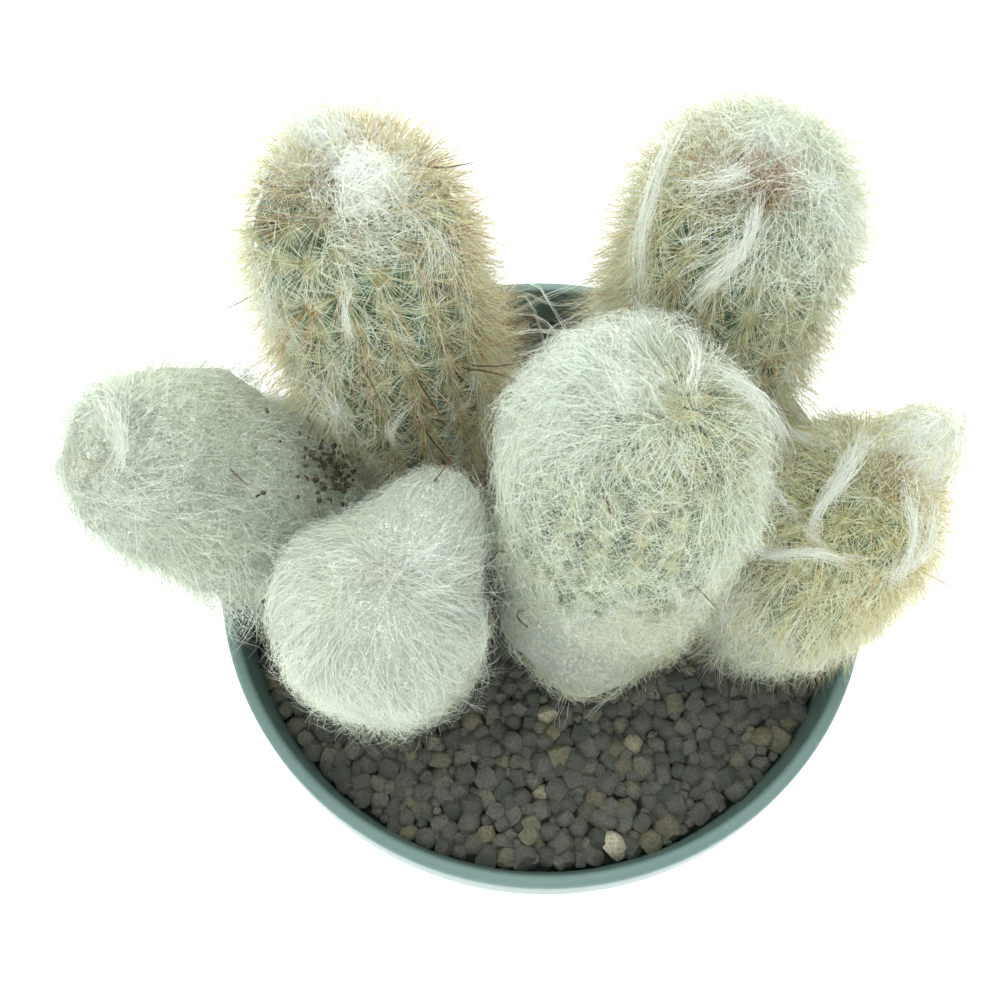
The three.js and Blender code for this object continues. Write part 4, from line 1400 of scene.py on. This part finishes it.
def potRings(look):  # (radius, height) in millimetres, out of the base, up the outside and back down
    rim, top = rimRadius / mm, rimTop / mm
    wall, soft, base, baseRound = look["wall"], look["lipRound"], look["baseRadius"], look["baseRound"]
    slope = (rim - look["lipWidth"] - base + wall) / (top - look["floor"])

    def inside(height):
        return base - wall + slope * (height - look["floor"])

    def quarter(steps, first):
        return [math.radians(90 * step / (steps - 1)) for step in range(first, steps)]

    rings = [(base - baseRound, 0)]
    rings += [(base + baseRound * (math.sin(a) - 1), baseRound * (1 - math.cos(a))) for a in quarter(5, 1)]
    rings += [(inside(height) + wall, height) for height in look["outer"]]
    bandBottom = top - look["bandHeight"]
    bandStart = bandBottom - look["lipWidth"]
    rings.append((inside(bandStart) + wall, bandStart))
    rings += [(rim - inwards, bandBottom + up) for inwards, up in look["bandCorner"]]
    rings += [(rim - soft * (1 - math.cos(a)), top - soft * (1 - math.sin(a))) for a in quarter(6, 0)]
    rings += [(inside(top) + soft * (1 - math.sin(a)), top - soft * (1 - math.cos(a)))
              for a in quarter(6, 0)]
    return rings + [(inside(height), height) for height in (*look["inner"], look["floor"])]


def drainCutters(look):  # a hole and a groove out to the edge, for each of the pot's drains
    cutters = []
    for i in range(look["holes"]):
        turn = 2 * math.pi * i / look["holes"]
        circle, base = look["holeCircle"] * mm, look["baseRadius"] * mm
        deselectAll()
        bpy.ops.mesh.primitive_cylinder_add(
            vertices=look["holeSteps"], radius=look["holeRadius"] * mm, depth=look["cutDepth"] * mm,
            location=(circle * math.cos(turn), circle * math.sin(turn), 0))
        cutters.append(bpy.context.object)
        length = (look["baseRadius"] - look["hubRadius"]) * 2 * mm
        deselectAll()
        bpy.ops.mesh.primitive_cube_add(
            size=1, location=(base * math.cos(turn), base * math.sin(turn), 0),
            rotation=(0, 0, turn), scale=(length, look["grooveWidth"] * mm, look["grooveDepth"] * 2 * mm))
        cutters.append(bpy.context.object)
    return cutters


def potPiece(look):
    rings = potRings(look)
    deselectAll()
    bpy.ops.mesh.primitive_circle_add(
        vertices=look["steps"], radius=rings[0][0] * mm, fill_type="NGON", location=(0, 0, 0))
    piece = bpy.context.object
    piece.name = "nursery_pot"
    editAll()
    for (radius, height), (nextRadius, nextHeight) in zip(rings, rings[1:]):
        bpy.ops.mesh.extrude_edges_move(
            TRANSFORM_OT_translate={"value": (0, 0, (nextHeight - height) * mm)})
        share = nextRadius / radius
        bpy.ops.transform.resize(value=(share, share, 1))
    bpy.ops.mesh.edge_face_add()
    closeOutwards()
    for cutter in drainCutters(look):
        deselectAll()
        piece.select_set(True)
        bpy.context.view_layer.objects.active = piece
        cut = piece.modifiers.new("drain", "BOOLEAN")
        cut.operation = "DIFFERENCE"
        cut.object = cutter
        cut.solver = "EXACT"
        bpy.ops.object.modifier_apply(modifier=cut.name)
        bpy.data.objects.remove(cutter)
    bpy.ops.object.shade_smooth_by_angle(angle=math.radians(look["smoothUnder"]))
    return piece


potColours = {"deep": "#607977", "plain": "#67807b", "scuffed": "#8fa3a0"}


def potMaterial():
    deep, plain, scuffed = [paint(potColours[key]) for key in ("deep", "plain", "scuffed")]
    material, shader, tree = newMaterial("pot plastic", 0.38, 0.45)
    where = objectSpace(tree)
    grain = where.noise(700.0, 3.0)
    colour = where.noise(45.0, 4.0).between(0.2, 0.8).mix(deep, plain)
    (grain.between(0.62, 0.75) * 0.35).mix(colour, scuffed).into(shader, "Base Color")
    grain.dent(shader, 0.15, 0.05)
    return material


place(potPiece(potLook), "pot_plastic", potMaterial(), "pot")
print("pot and granules done")

# A plain pale floor just below the pot's base. Its glow keeps it nearly white.
floorLook = {"size": 6, "below": 0.2, "colour": (0.9, 0.905, 0.9, 1), "glow": 0.8}
deselectAll()
bpy.ops.mesh.primitive_plane_add(size=floorLook["size"], location=(0, 0, -floorLook["below"] * mm))
floor = bpy.context.object
floor.name = "floor"
floorMaterial, floorShader, _ = newMaterial("pale floor", 0.9, 0.1)
floorShader.inputs["Base Color"].default_value = floorLook["colour"]
floorShader.inputs["Emission Color"].default_value = (1, 1, 1, 1)
floorShader.inputs["Emission Strength"].default_value = floorLook["glow"]
floorMaterial.cycles.emission_sampling = "NONE"
floor.data.materials.append(floorMaterial)

# The light is one wide soft sky: brighter at the back, like a window, and a little at the front.
# reach is the cosine of the angle at which those two fade out.
lightLook = {
    "base": 0.98, "colour": (0.97, 1.0, 0.98, 1), "reach": 0.2,
    "window": (-0.2, 0.85, 0.55), "windowGain": 2.3, "fill": (-0.1, -0.95, 0.2), "fillGain": 0.5}
world = bpy.data.worlds.new("studio")
bpy.context.scene.world = world
world.use_nodes = True
world.cycles.sampling_method = "NONE"
sky = Wire(world.node_tree)
heading = sky.make("TexCoord", out=0)


def glow(name):  # its gain in the middle of a wide soft light, and 0 well away from it
    middle = tuple(Vector(lightLook[name]).normalized())
    towards = sky.make("VectorMath", {"operation": "DOT_PRODUCT"}, {0: heading, 1: middle}, out=1)
    return towards.between(lightLook["reach"], 1.0) * lightLook[name + "Gain"]


background = world.node_tree.nodes["Background"]
background.inputs["Color"].default_value = lightLook["colour"]
(glow("window") + glow("fill") + lightLook["base"]).into(background, "Strength")

view = {"elevation": 67.1, "distance": 4.35 * rimRadius, "angle": 40.0,
        "aim": (-0.133 * rimRadius, 0.194 * rimRadius, rimTop)}
rise = math.radians(view["elevation"])
aim = Vector(view["aim"])
cameraData = bpy.data.cameras.new("camera")
cameraData.angle = math.radians(view["angle"])
camera = bpy.data.objects.new("camera", cameraData)
camera.location = aim + view["distance"] * Vector((0, -math.cos(rise), math.sin(rise)))
camera.rotation_euler = (aim - camera.location).to_track_quat("-Z", "Y").to_euler()
cameraData.clip_start = 0.01
bpy.context.scene.collection.objects.link(camera)
bpy.context.scene.camera = camera
bpy.context.scene.view_settings.view_transform = "Standard"
bpy.context.scene.cycles.debug_use_spatial_splits = True  # hair renders faster
print("floor, light and camera done")
